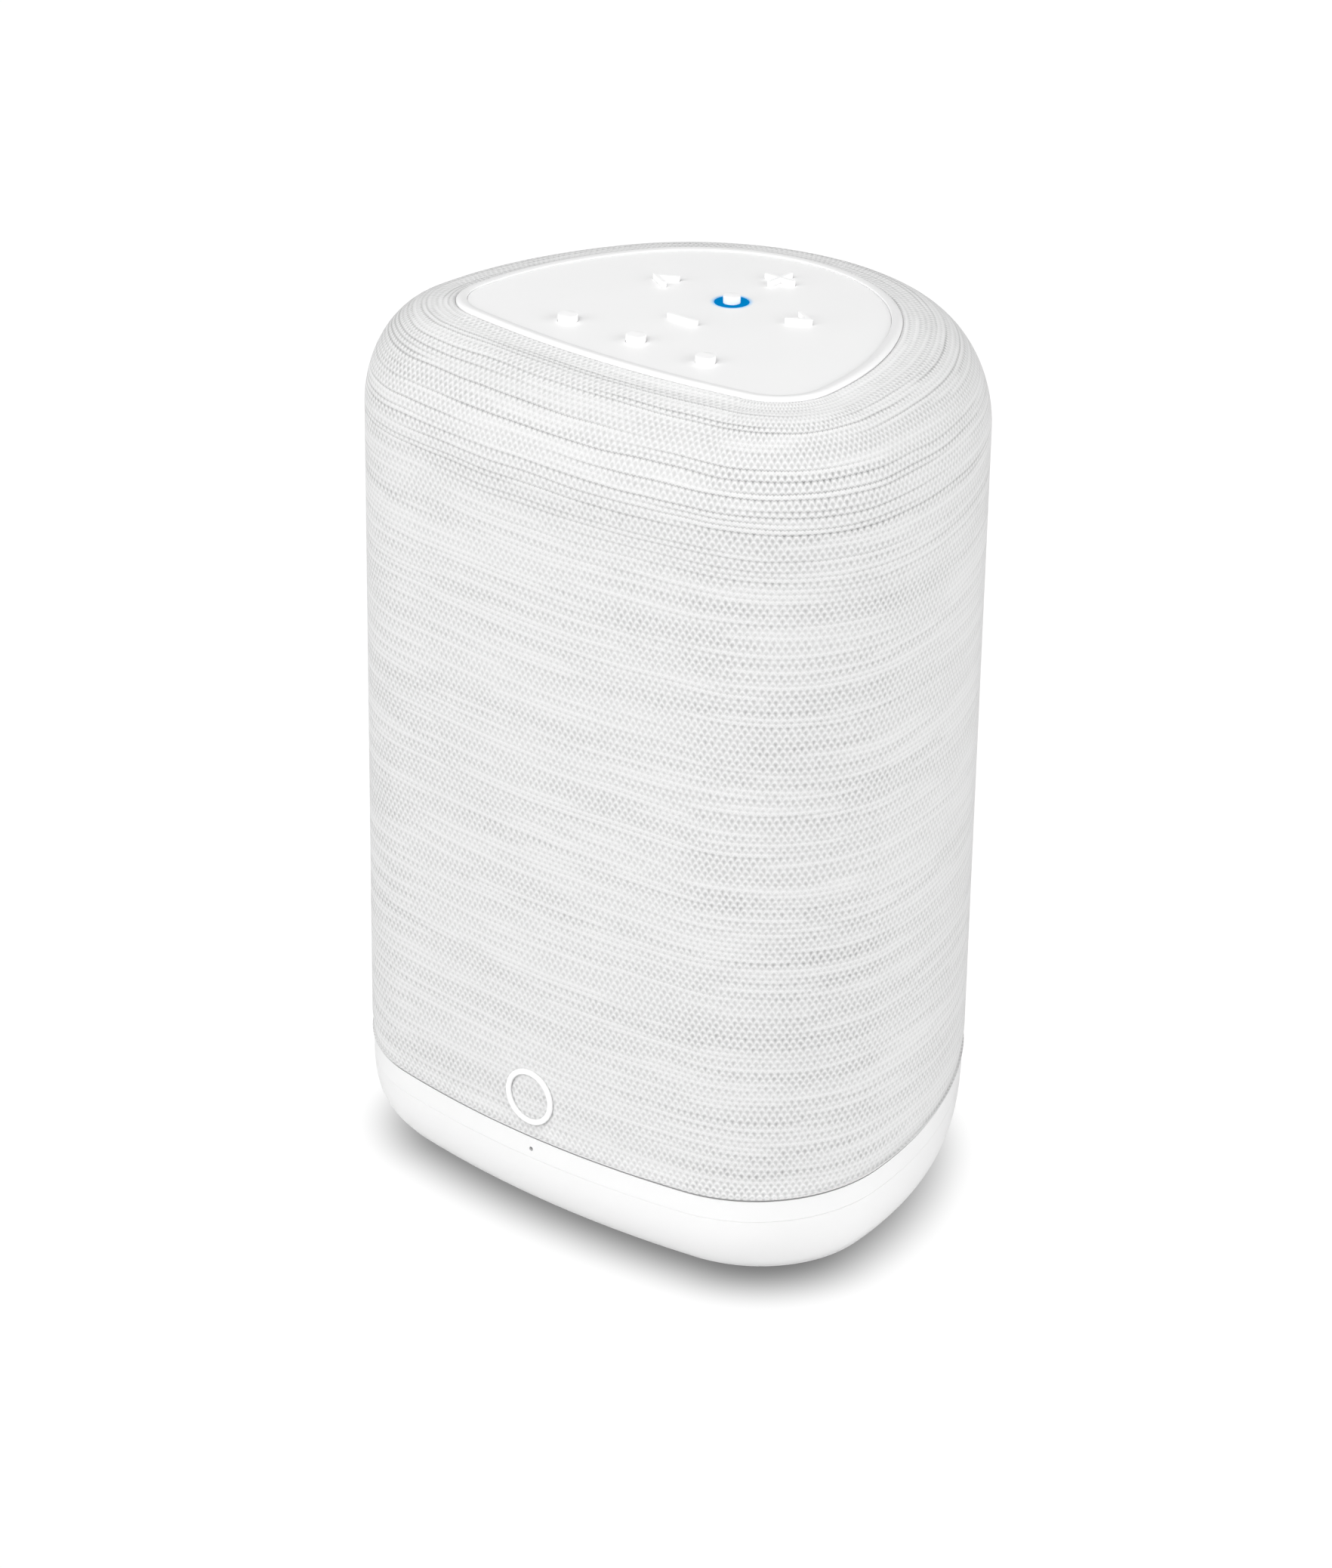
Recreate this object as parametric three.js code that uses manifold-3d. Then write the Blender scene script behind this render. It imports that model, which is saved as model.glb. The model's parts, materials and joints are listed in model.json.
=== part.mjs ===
// A fabric-covered smart speaker with a key panel on top, in millimetres, +Z up, front towards -Y.
// The origin is the centre of the underside. Every visible shell follows one rounded-triangle outline.
import * as THREE from 'three';
import { mergeVertices } from 'three/addons/utils/BufferGeometryUtils.js';
import Module from 'manifold-3d';

const wasm = await Module();
wasm.setup();

// ---------------------------------------------------------------- driving dimensions
const CORNER_X = 32.9;          // front corner circles stand this far from the centre plane
const CORNER_R = 30.9;
const BACK_R = 58.7;            // the round back
const BACK_SHIFT = 16.75;       // its centre lies this far behind the corner circles' centres
const FRONT_BOW_R = 225.6;      // the front is almost flat
const SIDE_BOW_R = 90.6;
const BADGE_PROUD = 0.6;        // the badge stands in front of the fabric by this much

const CROWN_Z = 183.0;          // top of the fabric
const SHOULDER_DROP = 20.5;     // the wall turns over into the crown across this height
const SHOULDER_INSET = 14.0;    // and this width
const EDGE_SLOPE = 0.053;       // fabric edge and base seam rise towards the back
const FABRIC_EDGE_Z = 21.75;    // at the centre of the outline
const SEAM_Z = 16.75;
const FOOT_LIFT = 0.8;          // the rubber foot holds the base off the table
const BASE_TAPER = 6.4;         // the base pan draws in by this much at its foot
const TAPER_POWER = 3.6;
const FABRIC = 1.2;             // thicknesses
const WALL = 2.4;
const GAP = 0.3;                // between pieces that touch

const BEZEL_INSET = 18.4;
const BEZEL_WIDTH = 2.3;
const BEZEL_TOP = 184.3;
const PANEL_TOP = 183.9;
const PANEL_THICK = 2.0;
const SIGN_RISE = 1.1;          // how far the keys stand above the panel
const ROUND_RISE = 1.35;
const KEY_CLEARANCE = 0.15;
const KEY_PITCH = 17.5;         // sideways pitch of the keys
const PRESET_Y = -23.4;         // the row of three preset keys
const PLAY_Y = 6.4;
const VOLUME_PITCH = 15.45;     // volume keys, in front of and behind the play key
const PRESET_R = 2.0;
const PLAY_R = 1.75;
const RING_R = 3.5;
const BAR = 0.9;                // stroke width of the signs on the keys
const SIGN = 7.4;               // length of the plus and minus signs
const CHEVRON_DEPTH = 4.2;
const CHEVRON_HALF = 2.4;

const BAY_WIDTH = 60;           // the recess at the back that holds the sockets
const BAY_LOW = 4.5;
const BAY_HIGH = 17.3;
const BAY_Y = 42.5;             // the wall that the sockets stand in
const FLOOR_TOP = 3.8;
const STATUS_Z = 15.9;          // pinhole for the status light
const SCREW_SPOTS = [[-37, -23], [37, -23], [-29, 15], [29, 15]];

const BAFFLE_Y = -38.0;         // back face of the front baffle
const BAFFLE_THICK = 4.0;
const CABINET_INSET = 7.5;
const CABINET_LOW = 32;
const CABINET_HIGH = 162;
const WOOFER_Z = 77;
const TWEETER_Z = 139;

// ---------------------------------------------------------------- the outline
// Three circles joined by three bowed arcs that touch them from outside, so an inset only shortens radii.
const BOW_Y = Math.sqrt((FRONT_BOW_R - CORNER_R) ** 2 - CORNER_X ** 2);
const FRONT_Y = BOW_Y - FRONT_BOW_R;
const MIDDLE_Y = (FRONT_Y - BADGE_PROUD + BACK_SHIFT + BACK_R) / 2;
const FRONT = FRONT_Y - MIDDLE_Y;
const BACK = BACK_SHIFT + BACK_R - MIDDLE_Y;

// Centre of the bowed side: the point at the stated distances from the corner and back circles' centres.
function sideCentre() {
  const corner = new THREE.Vector2(CORNER_X, 0);
  const back = new THREE.Vector2(0, BACK_SHIFT);
  const between = back.clone().sub(corner);
  const span = between.length();
  const toCorner = SIDE_BOW_R - CORNER_R;
  const toBack = SIDE_BOW_R - BACK_R;
  const along = (toCorner ** 2 - toBack ** 2 + span ** 2) / (2 * span);
  const across = Math.sqrt(toCorner ** 2 - along ** 2);
  between.normalize();
  const inward = new THREE.Vector2(between.y, -between.x);
  if (inward.x > 0) inward.negate();
  return corner.addScaledVector(between, along).addScaledVector(inward, across);
}

// The outline as points, anticlockwise from the front of the right corner, inset from the wall.
function outline(inset = 0) {
  const side = sideCentre();
  const front = Math.atan2(-BOW_Y, CORNER_X);
  const flank = Math.atan2(-side.y, CORNER_X - side.x);
  const rear = Math.atan2(BACK_SHIFT - side.y, -side.x);
  const arc = (x, y, r, from, to, steps) => {
    const curve = new THREE.EllipseCurve(x, y - MIDDLE_Y, r - inset, r - inset, from, to);
    return curve.getPoints(steps).slice(0, -1);
  };
  return [
    ...arc(CORNER_X, 0, CORNER_R, front, flank, 6),
    ...arc(side.x, side.y, SIDE_BOW_R, flank, rear, 3),
    ...arc(0, BACK_SHIFT, BACK_R, rear, Math.PI - rear, 8),
    ...arc(-side.x, side.y, SIDE_BOW_R, Math.PI - rear, Math.PI - flank, 3),
    ...arc(-CORNER_X, 0, CORNER_R, Math.PI - flank, Math.PI - front, 6),
    ...arc(0, BOW_Y, FRONT_BOW_R, -Math.PI - front, front, 4),
  ];
}

// ---------------------------------------------------------------- solids
function indexed(positions, faces) {
  const geometry = new THREE.BufferGeometry();
  geometry.setAttribute('position', new THREE.Float32BufferAttribute(positions, 3));
  geometry.setIndex(faces);
  return geometry;
}

function toSolid(geometry) {
  const bare = geometry.clone();
  bare.deleteAttribute('normal');
  bare.deleteAttribute('uv');
  const merged = mergeVertices(bare, 1e-4);
  return new wasm.Manifold(new wasm.Mesh({
    numProp: 3,
    vertProperties: new Float32Array(merged.attributes.position.array),
    triVerts: new Uint32Array(merged.index.array),
  }));
}

function toGeometry(solid) {
  const mesh = solid.getMesh();
  return indexed(Array.from(mesh.vertProperties), Array.from(mesh.triVerts));
}

function joined(solids) {
  return solids.reduce((a, b) => a.add(b));
}

// A loft through levels {inset, z, slope}: each level is the outline, inset, and its slope lifts it backwards.
// An open loft is capped flat at both ends. A closed one runs up the outside and down the inside of a ring.
function loft(levels, closed = false) {
  const positions = [];
  for (const { inset, z, slope = 0 } of levels) {
    for (const p of outline(inset)) positions.push(p.x, p.y, z + slope * p.y);
  }
  const count = outline().length;
  const faces = [];
  const spans = closed ? levels.length : levels.length - 1;
  for (let k = 0; k < spans; k++) {
    const low = k * count;
    const high = ((k + 1) % levels.length) * count;
    for (let i = 0; i < count; i++) {
      const j = (i + 1) % count;
      faces.push(low + i, low + j, high + j, low + i, high + j, high + i);
    }
  }
  if (!closed) {
    const top = (levels.length - 1) * count;
    const centre = positions.length / 3;
    positions.push(0, 0, levels[0].z, 0, 0, levels[levels.length - 1].z);
    for (let i = 0; i < count; i++) {
      const j = (i + 1) % count;
      faces.push(centre, j, i, centre + 1, top + i, top + j);
    }
  }
  return toSolid(indexed(positions, faces));
}

function slab(inset, low, high) {
  return loft([{ inset, z: low }, { inset, z: high }]);
}

function box(x, y, z, [cx, cy, cz]) {
  return toSolid(new THREE.BoxGeometry(x, y, z).translate(cx, cy, cz));
}

// An upright cylinder.
function post(r, low, high, x = 0, y = 0, sides = 14) {
  const geometry = new THREE.CylinderGeometry(r, r, high - low, sides);
  return toSolid(geometry.rotateX(Math.PI / 2).translate(x, y, (low + high) / 2));
}

// A turned piece whose axis runs along Y. Its closed profile is a list of [radius, y].
function turned(profile, [x, z], sides = 22) {
  const points = profile.map(([r, y]) => new THREE.Vector2(r, y));
  const closed = profile.every(([r]) => r > 0) ? [...points, points[0]] : points;
  const solid = toSolid(new THREE.LatheGeometry(closed, sides).translate(x, 0, z));
  if (solid.volume() > 0) return solid;
  return toSolid(new THREE.LatheGeometry(closed.reverse(), sides).translate(x, 0, z));
}

// A cylinder whose axis runs along Y.
function peg(r, from, to, [x, z], sides = 12) {
  return turned([[0, from], [r, from], [r, to], [0, to]], [x, z], sides);
}

function extruded(shape, low, high) {
  const geometry = new THREE.ExtrudeGeometry(shape, { depth: high - low, bevelEnabled: false, curveSegments: 9 });
  return toSolid(geometry.translate(0, 0, low));
}

// ---------------------------------------------------------------- materials
const finish = (color, roughness, metalness = 0) => new THREE.MeshStandardMaterial({ color, roughness, metalness });
const whiteFabric = finish(0xe6e6e6, 0.95);
const whitePlastic = finish(0xf4f4f4, 0.35);
const panelPlastic = finish(0xefefef, 0.5);
const blueLight = finish(0x0f7dc4, 0.3);
const clearPlastic = finish(0xd8dcdf, 0.15);
const blackPlastic = finish(0x1d1e20, 0.55);
const innerPlastic = finish(0x3a3c3f, 0.6);
const blackRubber = finish(0x222222, 0.85);
const greyRubber = finish(0x8d8f91, 0.85);
const circuitGreen = finish(0x14532f, 0.5);
const steel = finish(0xb9bcc0, 0.35, 1);
const aluminium = finish(0xc9ccd0, 0.4, 1);
const copper = finish(0xb66a38, 0.35, 1);
const conePaper = finish(0x26272a, 0.8);

const speaker = new THREE.Group();
function place(name, solid, material, position = [0, 0, 0]) {
  const mesh = new THREE.Mesh(toGeometry(solid), material);
  mesh.name = name;
  mesh.position.set(...position);
  speaker.add(mesh);
}

// ---------------------------------------------------------------- fabric, grille and badge
// The shoulder is a quarter ellipse. A lining follows the same curve at a depth under the fabric.
function shoulder(depth, rimInset, steps) {
  const levels = [];
  for (let k = 0; k <= steps; k++) {
    const turn = (k / steps) * Math.PI / 2;
    levels.push({
      inset: depth + (SHOULDER_INSET - depth * 0.4) * (1 - Math.cos(turn)),
      z: CROWN_Z - SHOULDER_DROP + (SHOULDER_DROP - depth) * Math.sin(turn),
    });
  }
  levels.push({ inset: rimInset, z: CROWN_Z - depth + 0.2 });
  return levels;
}

function wall(outer, inner, edge, steps) {
  const rim = BEZEL_INSET - GAP;
  return loft([
    { inset: outer, ...edge }, ...shoulder(outer, rim, steps),
    ...shoulder(inner, rim, steps).reverse(), { inset: inner, ...edge },
  ], true);
}

function fabricSleeve() {
  return wall(0, FABRIC, { z: FABRIC_EDGE_Z, slope: EDGE_SLOPE }, 5);
}

// The rigid shell that carries the fabric, with rows of sound slots in front.
function grilleShell() {
  const outer = FABRIC + GAP;
  const shell = wall(outer, outer + 2, { z: FABRIC_EDGE_Z + 1, slope: EDGE_SLOPE }, 3);
  const slots = [];
  for (let z = 43; z <= 151; z += 18) {
    for (const x of [-25, 0, 25]) slots.push(box(21, 24, 10, [x, FRONT, z]));
  }
  return shell.subtract(joined(slots));
}

// A plain open ring on the fabric, low on the front.
function frontBadge() {
  const outer = 6.2;
  const inner = 5.0;
  const proud = FRONT - BADGE_PROUD;
  const deep = FRONT + 2;
  const ring = turned([[inner, deep], [outer, deep], [outer, proud], [inner, proud]], [0, 28.4], 28);
  return ring.subtract(slab(-0.1, 20, 40));
}

place('fabric_sleeve', fabricSleeve(), whiteFabric);
place('grille_shell', grilleShell(), whitePlastic);
place('front_badge', frontBadge(), whitePlastic);

// ---------------------------------------------------------------- base
const BASE_INSET = 0.35;
const BAY_MIDDLE = (BAY_LOW + BAY_HIGH) / 2;

function baseRing() {
  const top = { z: FABRIC_EDGE_Z - GAP, slope: EDGE_SLOPE };
  const seam = { z: SEAM_Z + GAP / 2, slope: EDGE_SLOPE };
  const inner = BASE_INSET + WALL;
  const ring = loft([
    { inset: BASE_INSET, ...seam }, { inset: BASE_INSET, ...top }, { inset: inner, ...top }, { inset: inner, ...seam },
  ], true);
  return ring.subtract(peg(0.5, FRONT - 2, FRONT + 5, [0, STATUS_Z]));
}

// The pan's side draws in towards its foot along a power curve; extra moves it inwards.
function panSide(low, extra) {
  const steps = 4;
  const levels = [];
  for (let k = 0; k <= steps; k++) {
    const share = (k / steps) ** 1.6;
    const z = low + (SEAM_Z - GAP / 2 - low) * share;
    const inset = BASE_INSET + BASE_TAPER * (1 - z / FABRIC_EDGE_Z) ** TAPER_POWER + extra;
    levels.push({ inset, z, slope: EDGE_SLOPE * share });
  }
  return levels;
}

function basePan() {
  const rim = panSide(FOOT_LIFT, 0).pop();
  const mouth = { ...rim, inset: BASE_INSET + WALL, z: rim.z + 0.01 };
  const outside = loft(panSide(FOOT_LIFT, 0));
  const inside = loft([...panSide(FLOOR_TOP, WALL), mouth, { ...mouth, z: mouth.z + 9 }]);
  const high = BAY_HIGH - BAY_LOW + 2 * GAP;
  const window = box(BAY_WIDTH + 2 * GAP, 24, high, [0, BAY_Y + 8.5, BAY_MIDDLE]);
  const screwHoles = SCREW_SPOTS.flatMap(([x, y]) => [post(1.6, 0, 6, x, y), post(3.0, 0, 2.6, x, y)]);
  const footGroove = loft([
    { inset: 13.7, z: 0 }, { inset: 13.7, z: 1.8 }, { inset: 20.3, z: 1.8 }, { inset: 20.3, z: 0 },
  ], true);
  return outside.subtract(inside).subtract(joined([window, footGroove, ...screwHoles]));
}

function rubberFoot() {
  return loft([{ inset: 14, z: 0 }, { inset: 14, z: 1.5 }, { inset: 20, z: 1.5 }, { inset: 20, z: 0 }], true);
}

// An open-fronted recess that follows the pan's outside, with a hole for each socket.
function connectorBay() {
  const deep = 16;
  const height = BAY_HIGH - BAY_LOW;
  const shell = box(BAY_WIDTH, deep, height, [0, BAY_Y - 2 + deep / 2, BAY_MIDDLE]);
  const hollow = box(BAY_WIDTH - 3, deep, height - 3, [0, BAY_Y + deep / 2, BAY_MIDDLE]);
  const holes = [
    box(16.6, 8, 9.2, [INLET_X, BAY_Y, BAY_MIDDLE]),
    box(14.6, 8, 9.2, [NETWORK_X, BAY_Y, BAY_MIDDLE]),
    peg(3.6, BAY_Y - 4, BAY_Y + 4, [AUDIO_X, BAY_MIDDLE], 24),
  ];
  return shell.intersect(loft(panSide(FOOT_LIFT, GAP))).subtract(hollow).subtract(joined(holes));
}

const INLET_X = -15;
const NETWORK_X = 8;
const AUDIO_X = 22;
const PIN_PITCH = 8.6;
const SOCKET_FACE = BAY_Y + 1;

// A figure-of-eight mains inlet: a blind stadium-shaped cavity with two round pins in it.
function mainsInlet() {
  const body = box(16, 14, 8.6, [INLET_X, SOCKET_FACE - 7, BAY_MIDDLE]);
  const floor = SOCKET_FACE - 11;
  const past = SOCKET_FACE + 1;
  const ends = [-1, 1].map((side) => peg(3.4, floor, past, [INLET_X + side * 3.4, BAY_MIDDLE], 20));
  const middle = box(6.8, past - floor, 6.8, [INLET_X, (floor + past) / 2, BAY_MIDDLE]);
  return body.subtract(joined([...ends, middle]));
}

function mainsPin() {
  return peg(1.1, SOCKET_FACE - 11 + GAP, SOCKET_FACE - 1.8, [0, 0]);
}

function networkSocket() {
  const body = box(14, 15, 8.6, [NETWORK_X, SOCKET_FACE - 7.5, BAY_MIDDLE]);
  return body.subtract(box(11.7, 13, 6.6, [NETWORK_X, SOCKET_FACE - 5.5, BAY_MIDDLE]));
}

function audioSocket() {
  const profile = [[1.8, 0], [3.3, 0], [3.3, -12], [0, -12], [0, -10], [1.8, -10], [1.8, 0]];
  return turned(profile.map(([r, y]) => [r, SOCKET_FACE + y]), [AUDIO_X, BAY_MIDDLE]);
}

function statusLightPipe() {
  const front = FRONT + BASE_INSET + WALL + GAP;
  return peg(1.2, front, front + 4, [0, STATUS_Z]);
}

function baseScrew() {
  return post(2.7, 1.1, 2.3).add(post(1.25, 2.2, 15)).subtract(box(3.4, 0.6, 0.8, [0, 0, 1.3]));
}

// A deck above the electronics, with posts that take the base screws.
function chassisDeck() {
  const posts = SCREW_SPOTS.map(([x, y]) => post(3.4, FLOOR_TOP + GAP, 27.5, x, y));
  const pilots = SCREW_SPOTS.map(([x, y]) => post(1.5, 4, 17, x, y));
  return slab(4.5, 27, 29.5).add(joined(posts)).subtract(joined(pilots));
}

place('base_ring', baseRing(), whitePlastic);
place('base_pan', basePan(), whitePlastic);
place('rubber_foot', rubberFoot(), greyRubber);
place('connector_bay', connectorBay(), whitePlastic);
place('mains_inlet', mainsInlet(), blackPlastic);
[-1, 1].forEach((side, i) => {
  place(`mains_pin_${i + 1}`, mainsPin(), steel, [INLET_X + side * PIN_PITCH / 2, 0, BAY_MIDDLE]);
});
place('network_socket', networkSocket(), steel);
place('audio_socket', audioSocket(), blackPlastic);
place('status_light_pipe', statusLightPipe(), clearPlastic);
SCREW_SPOTS.forEach(([x, y], i) => place(`base_screw_${i + 1}`, baseScrew(), steel, [x, y, 0]));
place('chassis_deck', chassisDeck(), innerPlastic);

// ---------------------------------------------------------------- electronics in the base
const POWER_BOARD_TOP = 7.2;

function heatSink() {
  const plate = box(24, 18, 1.6, [0, 0, 0.8]);
  const fins = [-2, -1, 0, 1, 2].map((i) => box(1.2, 18, 9, [i * 5.4, 0, 5.5]));
  return plate.add(joined(fins));
}

place('power_board', box(54, 44, 1.6, [0, 0, 0]), circuitGreen, [0, -12, POWER_BOARD_TOP - 0.8]);
place('transformer', box(18, 16, 13, [0, 0, 6.5]), blackPlastic, [-15, -4, POWER_BOARD_TOP + GAP]);
place('heat_sink', heatSink(), aluminium, [12, -18, POWER_BOARD_TOP + GAP]);
place('main_board', box(60, 30, 1.6, [0, 0, 0]), circuitGreen, [0, -9, 24]);
place('wireless_antenna', box(2, 26, 12, [0, 0, 0]), circuitGreen, [50, -8, 14]);

// ---------------------------------------------------------------- sound cabinet and drivers
const BAFFLE_FRONT = BAFFLE_Y - BAFFLE_THICK;
const FRAME_FACE = BAFFLE_FRONT - GAP;
const WOOFER = [0, WOOFER_Z];
const TWEETER = [0, TWEETER_Z];
const WOOFER_SCREW_R = 37.3;
const WOOFER_SCREWS = [45, 135, 225, 315].map((degrees) => {
  const turn = THREE.MathUtils.degToRad(degrees);
  return [WOOFER_SCREW_R * Math.cos(turn), WOOFER_Z + WOOFER_SCREW_R * Math.sin(turn)];
});

function cabinetShell() {
  const outside = slab(CABINET_INSET, CABINET_LOW, CABINET_HIGH);
  return outside.subtract(slab(CABINET_INSET + WALL, CABINET_LOW + WALL, CABINET_HIGH - WALL));
}

// A slice of the cabinet's depth.
function slice(from, to) {
  return box(200, to - from, 400, [0, (from + to) / 2, 100]);
}

function frontBaffle() {
  const plate = slab(CABINET_INSET, CABINET_LOW, CABINET_HIGH).intersect(slice(BAFFLE_FRONT, BAFFLE_Y));
  const holes = [peg(34.5, -60, 0, WOOFER, 22), peg(13.5, -60, 0, TWEETER, 22)];
  const pilots = WOOFER_SCREWS.map((spot) => peg(1.4, BAFFLE_FRONT - 1, BAFFLE_Y - 1, spot, 12));
  return plate.subtract(joined([...holes, ...pilots]));
}

// Front flange, sloping basket and the ring that holds the magnet.
function wooferBasket() {
  const profile = [
    [40, 0], [40, -2.2], [33.5, -2.2], [32.5, 3], [20, 26], [12.5, 26], [12.5, 28], [22, 28], [34, 4], [34, 0],
  ];
  const basket = turned(profile.map(([r, y]) => [r, FRAME_FACE + y]), WOOFER);
  const holes = WOOFER_SCREWS.map((spot) => peg(1.5, FRAME_FACE - 4, FRAME_FACE + 2, spot, 12));
  return basket.subtract(joined(holes));
}

// A magnet with a ring-shaped gap that the voice coil moves in.
function wooferMagnet() {
  const front = FRAME_FACE + 28 + GAP;
  const block = peg(27, front, front + 16, WOOFER, 22);
  return block.subtract(turned([[8.3, front - 1], [11.4, front - 1], [11.4, front + 11], [8.3, front + 11]], WOOFER));
}

const CONE_RIM = FRAME_FACE - 0.9;

// The cone and the tube that carries the voice coil.
function wooferCone() {
  const profile = [[28, 0], [9.6, 14], [9.6, 33], [9.2, 33], [9.2, 13.4], [27.4, -0.8]];
  return turned(profile.map(([r, y]) => [r, CONE_RIM + y]), WOOFER);
}

function wooferDustCap() {
  const profile = [[0, 7], [5, 8], [9, 11], [8.6, 11.7], [4.8, 8.9], [0, 8]];
  return turned(profile.map(([r, y]) => [r, CONE_RIM + y]), WOOFER, 24);
}

function voiceCoil() {
  const profile = [[9.9, 26], [10.5, 26], [10.5, 33], [9.9, 33]];
  return turned(profile.map(([r, y]) => [r, CONE_RIM + y]), WOOFER);
}

// A half-roll of rubber between the basket's flange and the cone.
function wooferSurround() {
  const steps = 4;
  const roll = (r) => Array.from({ length: steps + 1 }, (_, k) => {
    const turn = Math.PI * k / steps;
    return [30.9 - r * Math.cos(turn), FRAME_FACE - 1.5 - r * Math.sin(turn)];
  });
  return turned([...roll(2.3), ...roll(1.6).reverse()], WOOFER);
}

function wooferScrew() {
  const profile = [[0, -4.1], [2.4, -4.1], [2.4, -2.5], [1.1, -2.5], [1.1, 3], [0, 3]];
  return turned(profile.map(([r, y]) => [r, FRAME_FACE + y]), [0, 0], 12);
}

function tweeterFlange() {
  const profile = [[17, 0], [17, -2], [10.5, -1.2], [10.5, 5], [13, 5], [13, 0]];
  return turned(profile.map(([r, y]) => [r, FRAME_FACE + y]), TWEETER);
}

function tweeterDome() {
  const profile = [[0, -2.6], [5, -2], [8.6, 0], [9.6, 1.6], [9.2, 1.9], [8.2, 0.5], [4.8, -1.5], [0, -2.1]];
  return turned(profile.map(([r, y]) => [r, FRAME_FACE + 0.6 + y]), TWEETER, 24);
}

place('cabinet_tub', cabinetShell().intersect(slice(BAFFLE_Y + 1.4, 100)), innerPlastic);
place('cabinet_gasket', cabinetShell().intersect(slice(BAFFLE_Y + GAP, BAFFLE_Y + 1.1)), blackRubber);
place('front_baffle', frontBaffle(), innerPlastic);
place('woofer_basket', wooferBasket(), steel);
place('woofer_magnet', wooferMagnet(), steel);
place('woofer_cone', wooferCone(), conePaper);
place('woofer_dust_cap', wooferDustCap(), conePaper);
place('woofer_voice_coil', voiceCoil(), copper);
place('woofer_surround', wooferSurround(), blackRubber);
WOOFER_SCREWS.forEach(([x, z], i) => place(`woofer_screw_${i + 1}`, wooferScrew(), steel, [x, 0, z]));
place('tweeter_flange', tweeterFlange(), blackPlastic);
place('tweeter_dome', tweeterDome(), conePaper);
place('tweeter_magnet', peg(12.5, FRAME_FACE + 5.4, FRAME_FACE + 14, TWEETER, 24), steel);

// ---------------------------------------------------------------- top: bezel, panel and keys
const PANEL_LOW = PANEL_TOP - PANEL_THICK;
const FLANGE_TOP = PANEL_LOW - GAP;
const FLANGE_LOW = FLANGE_TOP - 0.8;
const BOARD_TOP = FLANGE_LOW - 2.4;
const SWITCH_HIGH = 1.7;

function barShape(length, grow, turn) {
  const a = length / 2 + grow;
  const b = BAR / 2 + grow;
  const origin = new THREE.Vector2();
  const corners = [[-a, -b], [a, -b], [a, b], [-a, b]];
  return new THREE.Shape(corners.map(([x, y]) => new THREE.Vector2(x, y).rotateAround(origin, turn)));
}

// A chevron stroke with a sharp apex, pointing along +X or, with side -1, along -X.
function chevronShape(grow, side) {
  const half = BAR / 2 + grow;
  const tip = CHEVRON_DEPTH / 2;
  const arm = new THREE.Vector2(CHEVRON_DEPTH, CHEVRON_HALF).normalize();
  const across = new THREE.Vector2(arm.y, -arm.x).multiplyScalar(half);
  const end = new THREE.Vector2(-tip, -CHEVRON_HALF).addScaledVector(arm, -grow);
  const outer = end.clone().add(across);
  const inner = end.clone().sub(across);
  const mitre = half / arm.y;
  const points = [
    [outer.x, outer.y], [tip + mitre, 0], [outer.x, -outer.y],
    [inner.x, -inner.y], [tip - mitre, 0], [inner.x, inner.y],
  ].map(([x, y]) => new THREE.Vector2(x * side, y));
  return new THREE.Shape(side > 0 ? points : points.reverse());
}

function roundShape(r, grow) {
  return new THREE.Shape().absarc(0, 0, r + grow, 0, 2 * Math.PI, false);
}

// Each key has a name, a place, a height above the panel and the shapes that its sign is drawn with.
const KEYS = [
  { name: 'preset_1', at: [-KEY_PITCH, PRESET_Y], rise: ROUND_RISE, signs: (g) => [roundShape(PRESET_R, g)] },
  { name: 'preset_2', at: [0, PRESET_Y], rise: ROUND_RISE, signs: (g) => [roundShape(PRESET_R, g)] },
  { name: 'preset_3', at: [KEY_PITCH, PRESET_Y], rise: ROUND_RISE, signs: (g) => [roundShape(PRESET_R, g)] },
  { name: 'play', at: [0, PLAY_Y], rise: ROUND_RISE, signs: (g) => [roundShape(PLAY_R, g)] },
  { name: 'previous', at: [-KEY_PITCH, PLAY_Y], rise: SIGN_RISE, signs: (g) => [chevronShape(g, -1)] },
  { name: 'next', at: [KEY_PITCH, PLAY_Y], rise: SIGN_RISE, signs: (g) => [chevronShape(g, 1)] },
  { name: 'volume_down', at: [0, PLAY_Y - VOLUME_PITCH], rise: SIGN_RISE, signs: (g) => [barShape(SIGN, g, 0)] },
  {
    name: 'volume_up',
    at: [0, PLAY_Y + VOLUME_PITCH],
    rise: SIGN_RISE,
    signs: (g) => [barShape(SIGN, g, 0), barShape(SIGN, g, Math.PI / 2)],
  },
];

function keySign(key, grow, low, high) {
  return joined(key.signs(grow).map((shape) => extruded(shape, low, high)));
}

// A raised sign on a round flange that stays under the panel.
function keyCap(key) {
  return keySign(key, 0, FLANGE_LOW, PANEL_TOP + key.rise).add(post(4.2, FLANGE_LOW, FLANGE_TOP));
}

// Body and plunger of a push switch, standing on the key board.
function pushSwitch() {
  return box(3.6, 3.6, 1.1, [0, 0, 0.85]).add(post(0.9, 1.2, SWITCH_HIGH, 0, 0, 12));
}

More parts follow.
